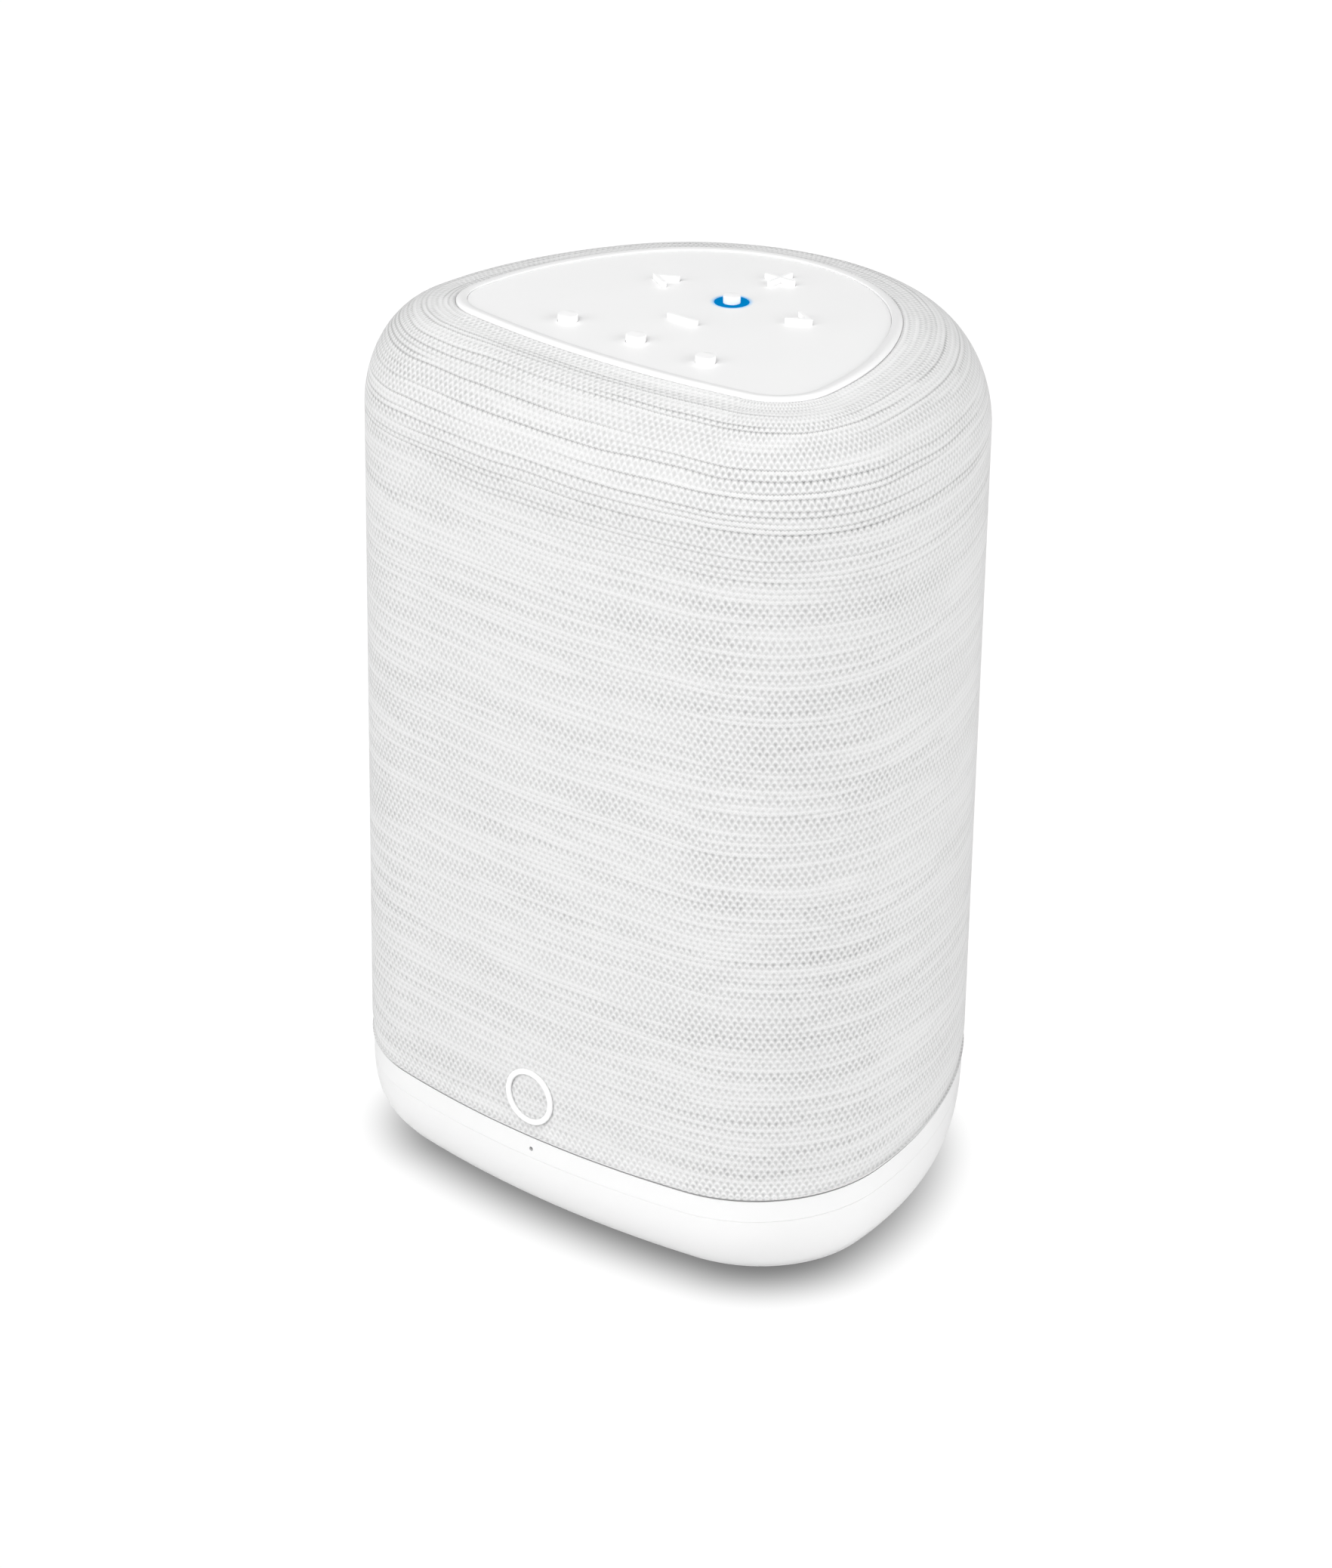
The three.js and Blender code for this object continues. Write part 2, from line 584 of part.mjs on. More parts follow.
function bezel() {
  const low = PANEL_LOW - 2;
  const rim = [[0, low], [0, 183.4], [0.3, 184.0], [0.9, BEZEL_TOP], [1.4, BEZEL_TOP], [2.0, 184.0]];
  const ledge = [[BEZEL_WIDTH, 183.8], [BEZEL_WIDTH, FLANGE_TOP], [BEZEL_WIDTH + 2, FLANGE_TOP], [BEZEL_WIDTH + 2, low]];
  return loft([...rim, ...ledge].map(([inset, z]) => ({ inset: BEZEL_INSET + inset, z })), true);
}

function controlPanel() {
  const holes = KEYS.filter((key) => key.name !== 'play').map((key) =>
    keySign(key, KEY_CLEARANCE, PANEL_LOW - 1, PANEL_TOP + 1).translate(...key.at, 0));
  const ringSeat = post(RING_R + KEY_CLEARANCE, PANEL_LOW - 1, PANEL_TOP + 1, 0, PLAY_Y, 28);
  return slab(BEZEL_INSET + BEZEL_WIDTH + GAP, PANEL_LOW, PANEL_TOP).subtract(joined([...holes, ringSeat]));
}

// The light guide fills the panel around the play key.
function lightRing() {
  const hole = post(PLAY_R + KEY_CLEARANCE, PANEL_LOW - 1, PANEL_TOP + 1, 0, 0, 20);
  return post(RING_R, PANEL_LOW, PANEL_TOP - 0.05, 0, 0, 28).subtract(hole);
}

// A tray that carries the key board on its rim.
function topTray() {
  const rim = BOARD_TOP - 1.6 - GAP;
  return slab(20.5, 170, rim).subtract(slab(23, 172, rim + 1));
}

place('top_bezel', bezel(), whitePlastic);
place('control_panel', controlPanel(), panelPlastic);
place('light_ring', lightRing(), blueLight, [0, PLAY_Y, 0]);
place('key_board', slab(21, BOARD_TOP - 1.6, BOARD_TOP), circuitGreen);
place('top_tray', topTray(), innerPlastic);
for (const key of KEYS) {
  place(`key_${key.name}`, keyCap(key), panelPlastic, [...key.at, 0]);
  place(`switch_${key.name}`, pushSwitch(), blackPlastic, [...key.at, BOARD_TOP]);
}

export default speaker;
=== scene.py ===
"""A wireless speaker: knitted sleeve on a rounded-triangle body, smooth base, key panel on top.

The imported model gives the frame, and every piece here is worked out from the outline below, in millimetres,
and made in metres. Front is towards -Y.
"""

import json
import math

import bmesh
import bpy
import numpy as np
from mathutils import Matrix, Vector, geometry


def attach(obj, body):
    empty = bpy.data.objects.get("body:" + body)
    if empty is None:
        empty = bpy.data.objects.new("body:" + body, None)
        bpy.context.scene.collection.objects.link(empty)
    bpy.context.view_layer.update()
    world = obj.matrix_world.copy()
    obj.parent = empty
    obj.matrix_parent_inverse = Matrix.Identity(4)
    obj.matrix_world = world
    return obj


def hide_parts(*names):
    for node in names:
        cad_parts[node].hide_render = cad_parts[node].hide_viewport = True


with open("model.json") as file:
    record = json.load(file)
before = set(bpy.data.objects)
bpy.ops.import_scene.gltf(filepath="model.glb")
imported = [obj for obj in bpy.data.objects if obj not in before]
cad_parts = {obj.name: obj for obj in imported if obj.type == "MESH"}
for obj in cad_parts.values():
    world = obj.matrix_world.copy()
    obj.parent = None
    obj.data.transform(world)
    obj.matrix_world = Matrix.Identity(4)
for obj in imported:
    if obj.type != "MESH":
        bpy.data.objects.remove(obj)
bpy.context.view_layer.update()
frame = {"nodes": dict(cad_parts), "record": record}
MM = 0.001

# ------------------------------------------------------------------ driving dimensions, in millimetres
CORNER_X, CORNER_R = 32.9, 30.9  # front corner circles
BACK_SHIFT, BACK_R = 16.75, 58.7  # the round back
FRONT_BOW_R, SIDE_BOW_R = 225.6, 90.6
BADGE_PROUD = 0.6
CROWN_Z = 183.0
SHOULDER_DROP, SHOULDER_INSET, SHOULDER_POWER = 20.5, 14.0, 1.048
EDGE_SLOPE = 0.053
FABRIC_EDGE_Z, SEAM_Z = 21.75, 16.75
FOOT_LIFT, BASE_TAPER, TAPER_POWER = 0.8, 6.4, 3.6
FOOT_OUT, FOOT_IN, FOOT_HIGH = 14, 20, 1.5  # the rubber ring's insets and height
PAN_FLOOR, LIP_WIDE, LIP_HIGH = 3.8, 0.9, 0.5
BASE_INSET, FABRIC, WALL, GAP = 0.35, 1.2, 2.4, 0.3
BEZEL_INSET, BEZEL_WIDTH, BEZEL_TOP = 18.4, 2.3, 184.3
PANEL_TOP, PANEL_THICK = 183.9, 2.0
FLANGE_TOP, FLANGE_LOW, FLANGE_R, FLANGE_EASE = 181.6, 180.8, 4.2, 0.2
KEY_PITCH, PRESET_Y, PLAY_Y, VOLUME_PITCH = 17.5, -23.4, 6.4, 15.45
PRESET_R, PLAY_R, RING_R = 2.0, 1.75, 3.5
SIGN_RISE, ROUND_RISE, KEY_CLEARANCE = 1.1, 1.35, 0.08
BAR, SIGN, CHEVRON_DEPTH, CHEVRON_HALF = 0.9, 7.4, 4.2, 2.4
SIGN_CORNER, KEY_EASE = 0.2, 0.09
BAY_WIDTH, BAY_LOW, BAY_HIGH, BAY_Y = 60.0, 4.5, 17.3, 42.5
BAY_MIDDLE = (BAY_LOW + BAY_HIGH) / 2
INLET_X, NETWORK_X, AUDIO_X, PIN_PITCH = -15.0, 8.0, 22.0, 8.6
SOCKET_FACE = BAY_Y + 1
STATUS_Z, BADGE_Z, BADGE_R, BADGE_HALF = 15.9, 28.4, 5.6, 0.6
SCREW_SPOTS = [(-37, -23), (37, -23), (-29, 15), (29, 15)]
SEAM_GAP = 0.02  # half the seam between the base's two mouldings
STITCH_WIDE, STITCH_HIGH = 1.47, 1.11  # pitch of the knit's columns and rows
RIM_PAINTED_LIGHT = 0.22  # painted light: how much lighter the knit is painted towards the rim, on the upward-facing top under the bezel
SHARP_ANGLE = 35  # degrees: edges that turn more than this stay crisp

# ------------------------------------------------------------------ the outline
BOW_Y = math.sqrt((FRONT_BOW_R - CORNER_R) ** 2 - CORNER_X**2)
FRONT_Y = BOW_Y - FRONT_BOW_R
MIDDLE_Y = (FRONT_Y - BADGE_PROUD + BACK_SHIFT + BACK_R) / 2
FRONT = FRONT_Y - MIDDLE_Y


def side_centre():
    """Centre of the bowed side: at SIDE_BOW_R less each radius from the corner's and the back's centres."""
    corner, back = np.array([CORNER_X, 0.0]), np.array([0.0, BACK_SHIFT])
    span = np.linalg.norm(back - corner)
    along = ((SIDE_BOW_R - CORNER_R) ** 2 - (SIDE_BOW_R - BACK_R) ** 2 + span**2) / (2 * span)
    across = math.sqrt((SIDE_BOW_R - CORNER_R) ** 2 - along**2)
    unit = (back - corner) / span
    left = np.array([-unit[1], unit[0]])
    return corner + unit * along + left * across * (1 if left[0] < 0 else -1)


def outline_arcs():
    """Centres, radii and turns of points round the outline, anticlockwise from the middle of the back."""
    sx, sy = side_centre()
    front = math.atan2(-BOW_Y, CORNER_X)
    flank = math.atan2(-sy, CORNER_X - sx)
    rear = math.atan2(BACK_SHIFT - sy, -sx)
    half, pi = math.pi / 2, math.pi
    arcs = [
        (0, BACK_SHIFT, BACK_R, half, pi - rear, 30),
        (-sx, sy, SIDE_BOW_R, pi - rear, pi - flank, 24),
        (-CORNER_X, 0, CORNER_R, pi - flank, pi - front, 34),
        (0, BOW_Y, FRONT_BOW_R, -pi - front, front, 40),
        (CORNER_X, 0, CORNER_R, front, flank, 34),
        (sx, sy, SIDE_BOW_R, flank, rear, 24),
        (0, BACK_SHIFT, BACK_R, rear, half, 30),
    ]
    rows = [
        np.stack(np.broadcast_arrays(x, y - MIDDLE_Y, r, np.linspace(a, b, n, endpoint=False)), 1)
        for x, y, r, a, b, n in arcs
    ]
    return np.concatenate(rows)


ARCS = outline_arcs()


def outline(inset=0.0):
    """Centre + (radius - inset) * (cos turn, sin turn), for each point of the outline."""
    x, y, r, turn = ARCS.T
    return np.stack([x + (r - inset) * np.cos(turn), y + (r - inset) * np.sin(turn)], 1)


def run_length(points):
    """Distance along a closed run of points, with the full length as its last entry."""
    steps = np.linalg.norm(np.roll(points, -1, 0) - points, axis=1)
    return np.concatenate([[0.0], np.cumsum(steps)])


# ------------------------------------------------------------------ meshes
def new_piece(name, points, faces, finish, smooth=SHARP_ANGLE):
    """One object at the origin, its points in millimetres, smooth except past the stated angle."""
    mesh = bpy.data.meshes.new(name)
    mesh.from_pydata((np.asarray(points) * MM).tolist(), [], faces)
    mesh.validate()
    piece = bpy.data.objects.new(name, mesh)
    bpy.context.collection.objects.link(piece)
    mesh.shade_smooth()
    mesh.set_sharp_from_angle(angle=math.radians(smooth))
    mesh.materials.append(finish)
    return piece


def grid_faces(rows, columns, wrap_rows):
    """Quads of a grid that closes round its columns and, if asked, round its rows too."""
    k, i = np.meshgrid(np.arange(rows if wrap_rows else rows - 1), np.arange(columns), indexing="ij")
    k, i = k.ravel(), i.ravel()
    j, up = (i + 1) % columns, (k + 1) % rows
    return np.stack([k * columns + i, k * columns + j, up * columns + j, up * columns + i], 1)


def loft_points(levels):
    """For each level (inset, z, slope): the outline at that inset, at height z + slope * y."""
    grids = []
    for inset, z, slope in levels:
        plan = outline(inset)
        grids.append(np.column_stack([plan, z + slope * plan[:, 1]]))
    return np.array(grids)


def loft(name, levels, finish, closed=True):
    """A ring whose section is the closed run of levels, or a plug capped flat at both ends."""
    points = loft_points(levels)
    rows, columns = points.shape[:2]
    faces = grid_faces(rows, columns, closed).tolist()
    flat = points.reshape(-1, 3)
    if not closed:
        centres = [[0, 0, levels[0][1]], [0, 0, levels[-1][1]]]
        flat = np.concatenate([flat, centres])
        i = np.arange(columns)
        j = (i + 1) % columns
        low, high = np.full(columns, rows * columns), np.full(columns, rows * columns + 1)
        last = (rows - 1) * columns
        faces += np.stack([low, j, i], 1).tolist() + np.stack([high, last + i, last + j], 1).tolist()
    return new_piece(name, flat, faces, finish)


def eased(corners, ease, steps=3):
    """A section's corners, each rounded by a quarter turn: x**2 + y**2 = ease**2 between its two sides."""
    corners = np.asarray(corners, float)
    before, after = np.roll(corners, 1, 0) - corners, np.roll(corners, -1, 0) - corners
    rounded = []
    for corner, a, b in zip(corners, before, after):
        la, lb = np.linalg.norm(a), np.linalg.norm(b)
        reach = min(ease, la * 0.45, lb * 0.45)
        a, b = a / la * reach, b / lb * reach
        turn = np.linspace(0, math.pi / 2, steps + 1)[:, None]
        rounded.append(corner + a * (1 - np.sin(turn)) + b * (1 - np.cos(turn)))
    return np.concatenate(rounded)


def onto_y(points):
    """Points turned so that what pointed along Z points along -Y, and what pointed along Y points up."""
    return np.stack([points[:, 0], -points[:, 2], points[:, 1]], 1)


def turned(name, section, finish, axis="z", at=(0, 0, 0), sides=48):
    """A section of (radius, height) carried round Z, as (r cos t, r sin t, h), and turned onto Y if asked."""
    section = np.asarray(section, float)
    closed = bool((section[:, 0] > 1e-6).all())
    turn = np.arange(sides) / sides * 2 * math.pi
    r, h = section[:, :1], section[:, 1:]
    points = np.stack([r * np.cos(turn), r * np.sin(turn), np.broadcast_to(h, (len(section), sides))], -1)
    faces = grid_faces(len(section), sides, closed)
    area = np.sum(section[:, 0] * np.roll(section[:, 1], -1) - np.roll(section[:, 0], -1) * section[:, 1])
    if area < 0:
        faces = faces[:, ::-1]
    flat = points.reshape(-1, 3)
    if axis == "y":
        flat = onto_y(flat)
    piece = new_piece(name, flat + np.array(at), faces.tolist(), finish)
    return piece if closed else face_out(piece, join=True)


def face_out(piece, join=False):
    """Turns every face outwards, first joining points that lie on each other, such as a pole's, if asked."""
    work = bmesh.new()
    work.from_mesh(piece.data)
    if join:
        bmesh.ops.remove_doubles(work, verts=work.verts, dist=1e-7)
    bmesh.ops.recalc_face_normals(work, faces=work.faces)
    work.to_mesh(piece.data)
    work.free()
    piece.data.set_sharp_from_angle(angle=math.radians(SHARP_ANGLE))
    return piece


def shrink(loop, inset):
    """A closed loop moved to its left by inset: p + (n1 + n2) * inset / (1 + n1 . n2)."""
    after = np.roll(loop, -1, 0) - loop
    normal = np.stack([-after[:, 1], after[:, 0]], 1) / np.linalg.norm(after, axis=1)[:, None]
    behind = np.roll(normal, 1, 0)
    scale = inset / np.maximum(1 + (normal * behind).sum(1), 0.2)
    return loop + (normal + behind) * scale[:, None]


def prism(name, loops, low, high, finish, ease, facing="z"):
    """A plate between two heights: its outer loop runs anticlockwise, its holes clockwise, its rims eased.

    Each side is the loop carried up a quarter-round section, and the faces are filled between the loops."""
    turn = np.linspace(0, math.pi / 2, 4)
    rise = np.concatenate([low + ease * (1 - np.cos(turn)), high - ease * (1 - np.cos(turn))[::-1]])
    into = np.concatenate([ease * (1 - np.sin(turn)), ease * (1 - np.sin(turn))[::-1]])
    points, faces, start, ends = [], [], 0, ([], [])
    for loop in loops:
        count = len(loop)
        for height, inset in zip(rise, into):
            points.append(np.column_stack([shrink(loop, inset), np.full(count, height)]))
        faces += (grid_faces(len(rise), count, False) + start).tolist()
        for end, first in zip(ends, (start, start + (len(rise) - 1) * count)):
            end.append(np.arange(first, first + count))
        start += count * len(rise)
    flat = np.concatenate(points)
    for end in ends:
        numbers = np.concatenate(end)
        rims = [[Vector((*flat[i, :2], 0)) for i in rim] for rim in end]
        faces += numbers[np.array(geometry.tessellate_polygon(rims))].tolist()
    if facing == "y":
        flat = onto_y(flat)
    return face_out(new_piece(name, flat, faces, finish))


def cut(piece, tools, operation="DIFFERENCE"):
    """Cuts the tools out of a piece, or keeps what they share, and removes the tools."""
    for tool in tools:
        change = piece.modifiers.new("cut", "BOOLEAN")
        change.operation, change.object, change.solver = operation, tool, "EXACT"
    made = bpy.data.meshes.new_from_object(piece.evaluated_get(bpy.context.evaluated_depsgraph_get()))
    piece.modifiers.clear()
    old, piece.data = piece.data, made
    bpy.data.meshes.remove(old)
    for tool in tools:
        bpy.data.objects.remove(tool)
    made.set_sharp_from_angle(angle=math.radians(SHARP_ANGLE))
    return piece


def joined(name, pieces):
    """Several pieces made one object."""
    with bpy.context.temp_override(
        active_object=pieces[0], object=pieces[0], selected_objects=pieces, selected_editable_objects=pieces
    ):
        bpy.ops.object.join()
    pieces[0].name = pieces[0].data.name = name
    return pieces[0]


def belongs(piece, body, slot, *nodes):
    """Ties a piece to its body and hides the nodes that it stands for. Every piece whose slot is not the
    fabric gets face-weighted normals.
    """
    if slot != "fabric":
        level = piece.modifiers.new("level_faces", "WEIGHTED_NORMAL")
        level.keep_sharp = True
    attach(piece, body)
    if nodes:
        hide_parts(*nodes)
    return piece


def circle(r, sides=48, x=0.0, y=0.0):
    """A round loop, anticlockwise."""
    turn = np.arange(sides) / sides * 2 * math.pi
    return np.stack([x + r * np.cos(turn), y + r * np.sin(turn)], 1)


def rectangle(wide, high, corner, x=0.0, y=0.0):
    """A loop with rounded corners, anticlockwise."""
    a, b = wide / 2, high / 2
    return eased([[-a, -b], [a, -b], [a, b], [-a, b]], corner, 5) + [x, y]


def box(size, centre):
    """A plain box for cutting with."""
    corners = rectangle(size[0], size[1], 0.001, centre[0], centre[1])
    return prism("tool", [corners], centre[2] - size[2] / 2, centre[2] + size[2] / 2, None, 0.0005)


def rod(radius, low, high, axis, at, sides):
    """A plain rod for cutting with."""
    return turned("tool", [[0, low], [radius, low], [radius, high], [0, high]], None, axis, at, sides)


def bar_section(inner, outer, low, high, ease, steps):
    """The section of a ring with rounded edges, as (radius, height)."""
    return eased([[inner, low], [outer, low], [outer, high], [inner, high]], ease, steps)


# ------------------------------------------------------------------ node helpers
def put(tree, kind, *values, **settings):
    """Adds a node. Values go to its inputs in order: sockets are linked, numbers set, None left alone."""
    node = tree.nodes.new(kind)
    for key, value in settings.items():
        setattr(node, key, value)
    for socket, value in zip(node.inputs, values):
        if isinstance(value, bpy.types.NodeSocket):
            tree.links.new(value, socket)
        elif value is not None:
            socket.default_value = value
    return node


def calc(tree, operation, *values):
    """The result of a math node."""
    return put(tree, "ShaderNodeMath", *values, operation=operation).outputs[0]


def blend_step(tree, value, low, high):
    """Smooth step of a value: 0 at low and 1 at high, which may lie below low."""
    node = put(tree, "ShaderNodeMapRange", value, low, high, interpolation_type="SMOOTHSTEP")
    return node.outputs[0]


def noise(tree, vector, scale, detail=2.0, roughness=0.5):
    """Noise from 0 to 1 at a place."""
    node = put(tree, "ShaderNodeTexNoise", vector)
    node.inputs["Scale"].default_value = scale
    node.inputs["Detail"].default_value = detail
    node.inputs["Roughness"].default_value = roughness
    return node.outputs[0]


def group(name, inputs, outputs):
    """An empty node group: inputs {name: number, or None for a vector} and outputs {name: kind of socket}."""
    tree = bpy.data.node_groups.new(name, "ShaderNodeTree")
    for label, value in inputs.items():
        kind = "NodeSocketVector" if value is None else "NodeSocketFloat"
        socket = tree.interface.new_socket(label, in_out="INPUT", socket_type=kind)
        if value is not None:
            socket.default_value = value
    for label, kind in outputs.items():
        tree.interface.new_socket(label, in_out="OUTPUT", socket_type=kind)
    return tree, tree.nodes.new("NodeGroupInput"), tree.nodes.new("NodeGroupOutput")


def grain_group():
    """Fine moulding grain on Object coordinates: a height, and a slow mottle from 0 to 1."""
    tree, given, out = group(
        "moulding_grain",
        {"Place": None, "Scale": 1500.0},
        {"Height": "NodeSocketFloat", "Mottle": "NodeSocketFloat"},
    )
    place, scale = given.outputs["Place"], given.outputs["Scale"]
    fine = put(tree, "ShaderNodeTexNoise", place)
    tree.links.new(scale, fine.inputs["Scale"])
    fine.inputs["Detail"].default_value = 3.0
    tree.links.new(fine.outputs[0], out.inputs["Height"])
    tree.links.new(noise(tree, place, 35.0, 3.0, 0.6), out.inputs["Mottle"])
    return tree


def knit_group():
    """A loose knit on stitch coordinates: columns along X, rows along Y, each row half a column over.

    Two families of arches, at 0.85 * |cos(pi x)| - 0.35 and 0.85 * |sin(pi x)| + 0.65, each repeated every
    second row, carry the yarn, and an eyelet lies under each arch. The rows wander slowly, thick runs of
    yarn close parts of a row, and here and there a groove opens between two rows, most of all towards the
    crown. Towards the rim the yarn carries painted light, which lightens the upward-facing top by the bezel."""
    tree, given, out = group(
        "open_knit",
        {"Stitches": None, "Open": 1.0, "Crown": 0.0, "Rim": 0.0},
        {"Shade": "NodeSocketFloat", "Height": "NodeSocketFloat"},
    )
    place, opened, crown, rim = (given.outputs[label] for label in ("Stitches", "Open", "Crown", "Rim"))
    x, y, _ = put(tree, "ShaderNodeSeparateXYZ", place).outputs

    def stretched(across, up, detail=2.0, roughness=0.5):
        """Noise with its own frequency across the columns and up the rows, centred on nought."""
        moved = put(tree, "ShaderNodeVectorMath", place, (across, up, 1.0), operation="MULTIPLY").outputs[0]
        return calc(tree, "SUBTRACT", noise(tree, moved, 1.0, detail, roughness), 0.5)

    def row_noise(number, across, seed, low, high, detail=1.0):
        """A mask along each row on its own: noise of (x * across, row number * seed)."""
        along = calc(tree, "MULTIPLY", x, across)
        lane = calc(tree, "MULTIPLY", number, seed)
        spot = put(tree, "ShaderNodeCombineXYZ", along, lane).outputs[0]
        return blend_step(tree, noise(tree, spot, 1.0, detail), low, high)

    # rows that wander and columns that sway
    y = calc(tree, "MULTIPLY_ADD", stretched(0.04, 0.07), 1.8, y)
    x = calc(tree, "MULTIPLY_ADD", stretched(0.30, 0.45, 1.0), 0.55, x)

    # the arches of yarn, brightest at their tops
    half_turn = calc(tree, "MULTIPLY", x, math.pi)
    arches = []
    for wave, lift in (("COSINE", -0.35), ("SINE", 0.65)):
        rise = calc(tree, "ABSOLUTE", calc(tree, wave, half_turn))
        above = calc(tree, "SUBTRACT", y, calc(tree, "MULTIPLY_ADD", rise, 0.85, lift))
        near = calc(tree, "PINGPONG", above, 1.0)
        tops = calc(tree, "MULTIPLY_ADD", calc(tree, "MULTIPLY", rise, rise), 0.45, 0.55)
        arches.append(calc(tree, "MULTIPLY", blend_step(tree, near, 0.50, 0.02), tops))
    arch = calc(tree, "MAXIMUM", *arches)

    # the eyelets, in a lattice whose rows bend a little, more open in some places than in others
    bend = calc(tree, "MULTIPLY_ADD", calc(tree, "COSINE", calc(tree, "MULTIPLY", x, 4 * math.pi)), 0.10, y)
    lattice = calc(
        tree,
        "MULTIPLY",
        calc(tree, "COSINE", calc(tree, "MULTIPLY", x, 2 * math.pi)),
        calc(tree, "COSINE", calc(tree, "MULTIPLY", calc(tree, "ADD", bend, 0.25), math.pi)),
    )
    row = calc(tree, "FLOOR", y)
    slub = row_noise(row, 0.035, 7.31, 0.48, 0.58, 2.0)
    band = blend_step(tree, stretched(0.012, 0.30, 1.0), -0.14, 0.14)
    drawn = calc(tree, "MULTIPLY_ADD", stretched(0.05, 0.06), 0.9, 0.60)
    drawn = calc(tree, "MULTIPLY_ADD", band, 0.45, drawn)
    unfilled = calc(tree, "MULTIPLY_ADD", slub, -0.55, 1.0)
    opening = calc(tree, "MULTIPLY", calc(tree, "MULTIPLY", opened, drawn), unfilled)
    opening = calc(tree, "MULTIPLY", opening, calc(tree, "ADD", stretched(0.9, 0.9, 0.0), 1.0))
    eyelet = calc(tree, "MULTIPLY", blend_step(tree, lattice, 0.25, 0.95), opening)

    # the thick runs of yarn
    level = calc(tree, "ABSOLUTE", calc(tree, "SUBTRACT", calc(tree, "FRACT", bend), 0.5))
    thread = calc(tree, "MULTIPLY", blend_step(tree, level, 0.26, 0.02), calc(tree, "MULTIPLY", slub, 0.8))
    arch = calc(tree, "MAXIMUM", arch, thread)

    # the grooves between rows
    between = calc(tree, "SUBTRACT", bend, 0.35)
    groove = row_noise(calc(tree, "FLOOR", between), 0.015, 3.77, 0.50, 0.62)
    groove = calc(tree, "MULTIPLY", groove, calc(tree, "MULTIPLY_ADD", crown, 0.85, 0.15))
    level = calc(tree, "ABSOLUTE", calc(tree, "SUBTRACT", calc(tree, "FRACT", between), 0.5))
    groove = calc(tree, "MULTIPLY", groove, blend_step(tree, level, 0.22, 0.04))

    # the shade, with what lies behind the yarn darker, and the height
    fibre = stretched(7.0, 5.0, 3.0, 0.7)
    darker = calc(tree, "MULTIPLY_ADD", opening, 0.14, 0.12)
    behind = calc(tree, "MULTIPLY", calc(tree, "SUBTRACT", arch, 1.0), darker)
    shade = calc(tree, "MULTIPLY_ADD", eyelet, -0.13, calc(tree, "ADD", behind, 1.0))
    # painted light: the shade is lifted towards the rim under the bezel, then the grooves darken it
    shade = calc(tree, "MULTIPLY_ADD", groove, -0.26, calc(tree, "MULTIPLY_ADD", rim, RIM_PAINTED_LIGHT, shade))
    tree.links.new(calc(tree, "MULTIPLY_ADD", fibre, 0.16, shade), out.inputs["Shade"])
    height = calc(tree, "MULTIPLY_ADD", eyelet, -0.9, calc(tree, "MULTIPLY", arch, 0.7))
    height = calc(tree, "MULTIPLY_ADD", groove, -0.8, height)
    tree.links.new(calc(tree, "MULTIPLY_ADD", fibre, 0.55, height), out.inputs["Height"])
    return tree


GRAIN = grain_group()
KNIT = knit_group()


def new_material(name, color, roughness, **constants):
    """A material and its Principled shader. Each constant sets a socket: sheen_weight sets Sheen Weight."""
    material = bpy.data.materials.new(name)
    material.use_nodes = True
    shader = material.node_tree.nodes["Principled BSDF"]
    shader.inputs["Base Color"].default_value = (*color, 1.0)
    shader.inputs["Roughness"].default_value = roughness
    for label, value in constants.items():
        socket = label.replace("_", " ").title().replace("Ior", "IOR")
        shader.inputs[socket].default_value = value
    return material, material.node_tree, shader


def moulded(name, color, roughness, grain=1500.0, depth=0.12, mottle=0.03, **constants):
    """Moulded plastic or rubber: fine grain in the bump, a slow mottle in colour and roughness."""
    material, tree, shader = new_material(name, color, roughness, **constants)
    place = tree.nodes.new("ShaderNodeTexCoord").outputs["Object"]
    fine = put(tree, "ShaderNodeGroup", node_tree=GRAIN)
    tree.links.new(place, fine.inputs["Place"])
    fine.inputs["Scale"].default_value = grain
    shift = calc(tree, "SUBTRACT", fine.outputs["Mottle"], 0.5)
    bright = calc(tree, "MULTIPLY_ADD", shift, mottle, 1.0)
    tint = put(tree, "ShaderNodeVectorMath", color, operation="SCALE")
    tree.links.new(bright, tint.inputs["Scale"])
    tree.links.new(tint.outputs[0], shader.inputs["Base Color"])
    tree.links.new(calc(tree, "MULTIPLY_ADD", shift, 0.12, roughness), shader.inputs["Roughness"])
    bump = tree.nodes.new("ShaderNodeBump")
    bump.inputs["Strength"].default_value = depth
    bump.inputs["Distance"].default_value = 0.00005
    tree.links.new(fine.outputs["Height"], bump.inputs["Height"])
    tree.links.new(bump.outputs[0], shader.inputs["Normal"])
    return material


def brushed(name, color, roughness, stretch=(200.0, 3000.0, 200.0)):
    """Metal with fine drawn lines: noise stretched along one axis."""
    material, tree, shader = new_material(name, color, roughness, metallic=1.0)
    place = tree.nodes.new("ShaderNodeTexCoord").outputs["Object"]
    drawn = put(tree, "ShaderNodeVectorMath", place, stretch, operation="MULTIPLY").outputs[0]
    lines = noise(tree, drawn, 1.0, 3.0, 0.6)
    tree.links.new(calc(tree, "MULTIPLY_ADD", lines, 0.25, roughness - 0.12), shader.inputs["Roughness"])
    bump = tree.nodes.new("ShaderNodeBump")
    bump.inputs["Strength"].default_value = 0.15
    bump.inputs["Distance"].default_value = 0.00003
    tree.links.new(lines, bump.inputs["Height"])
    tree.links.new(bump.outputs[0], shader.inputs["Normal"])
    return material


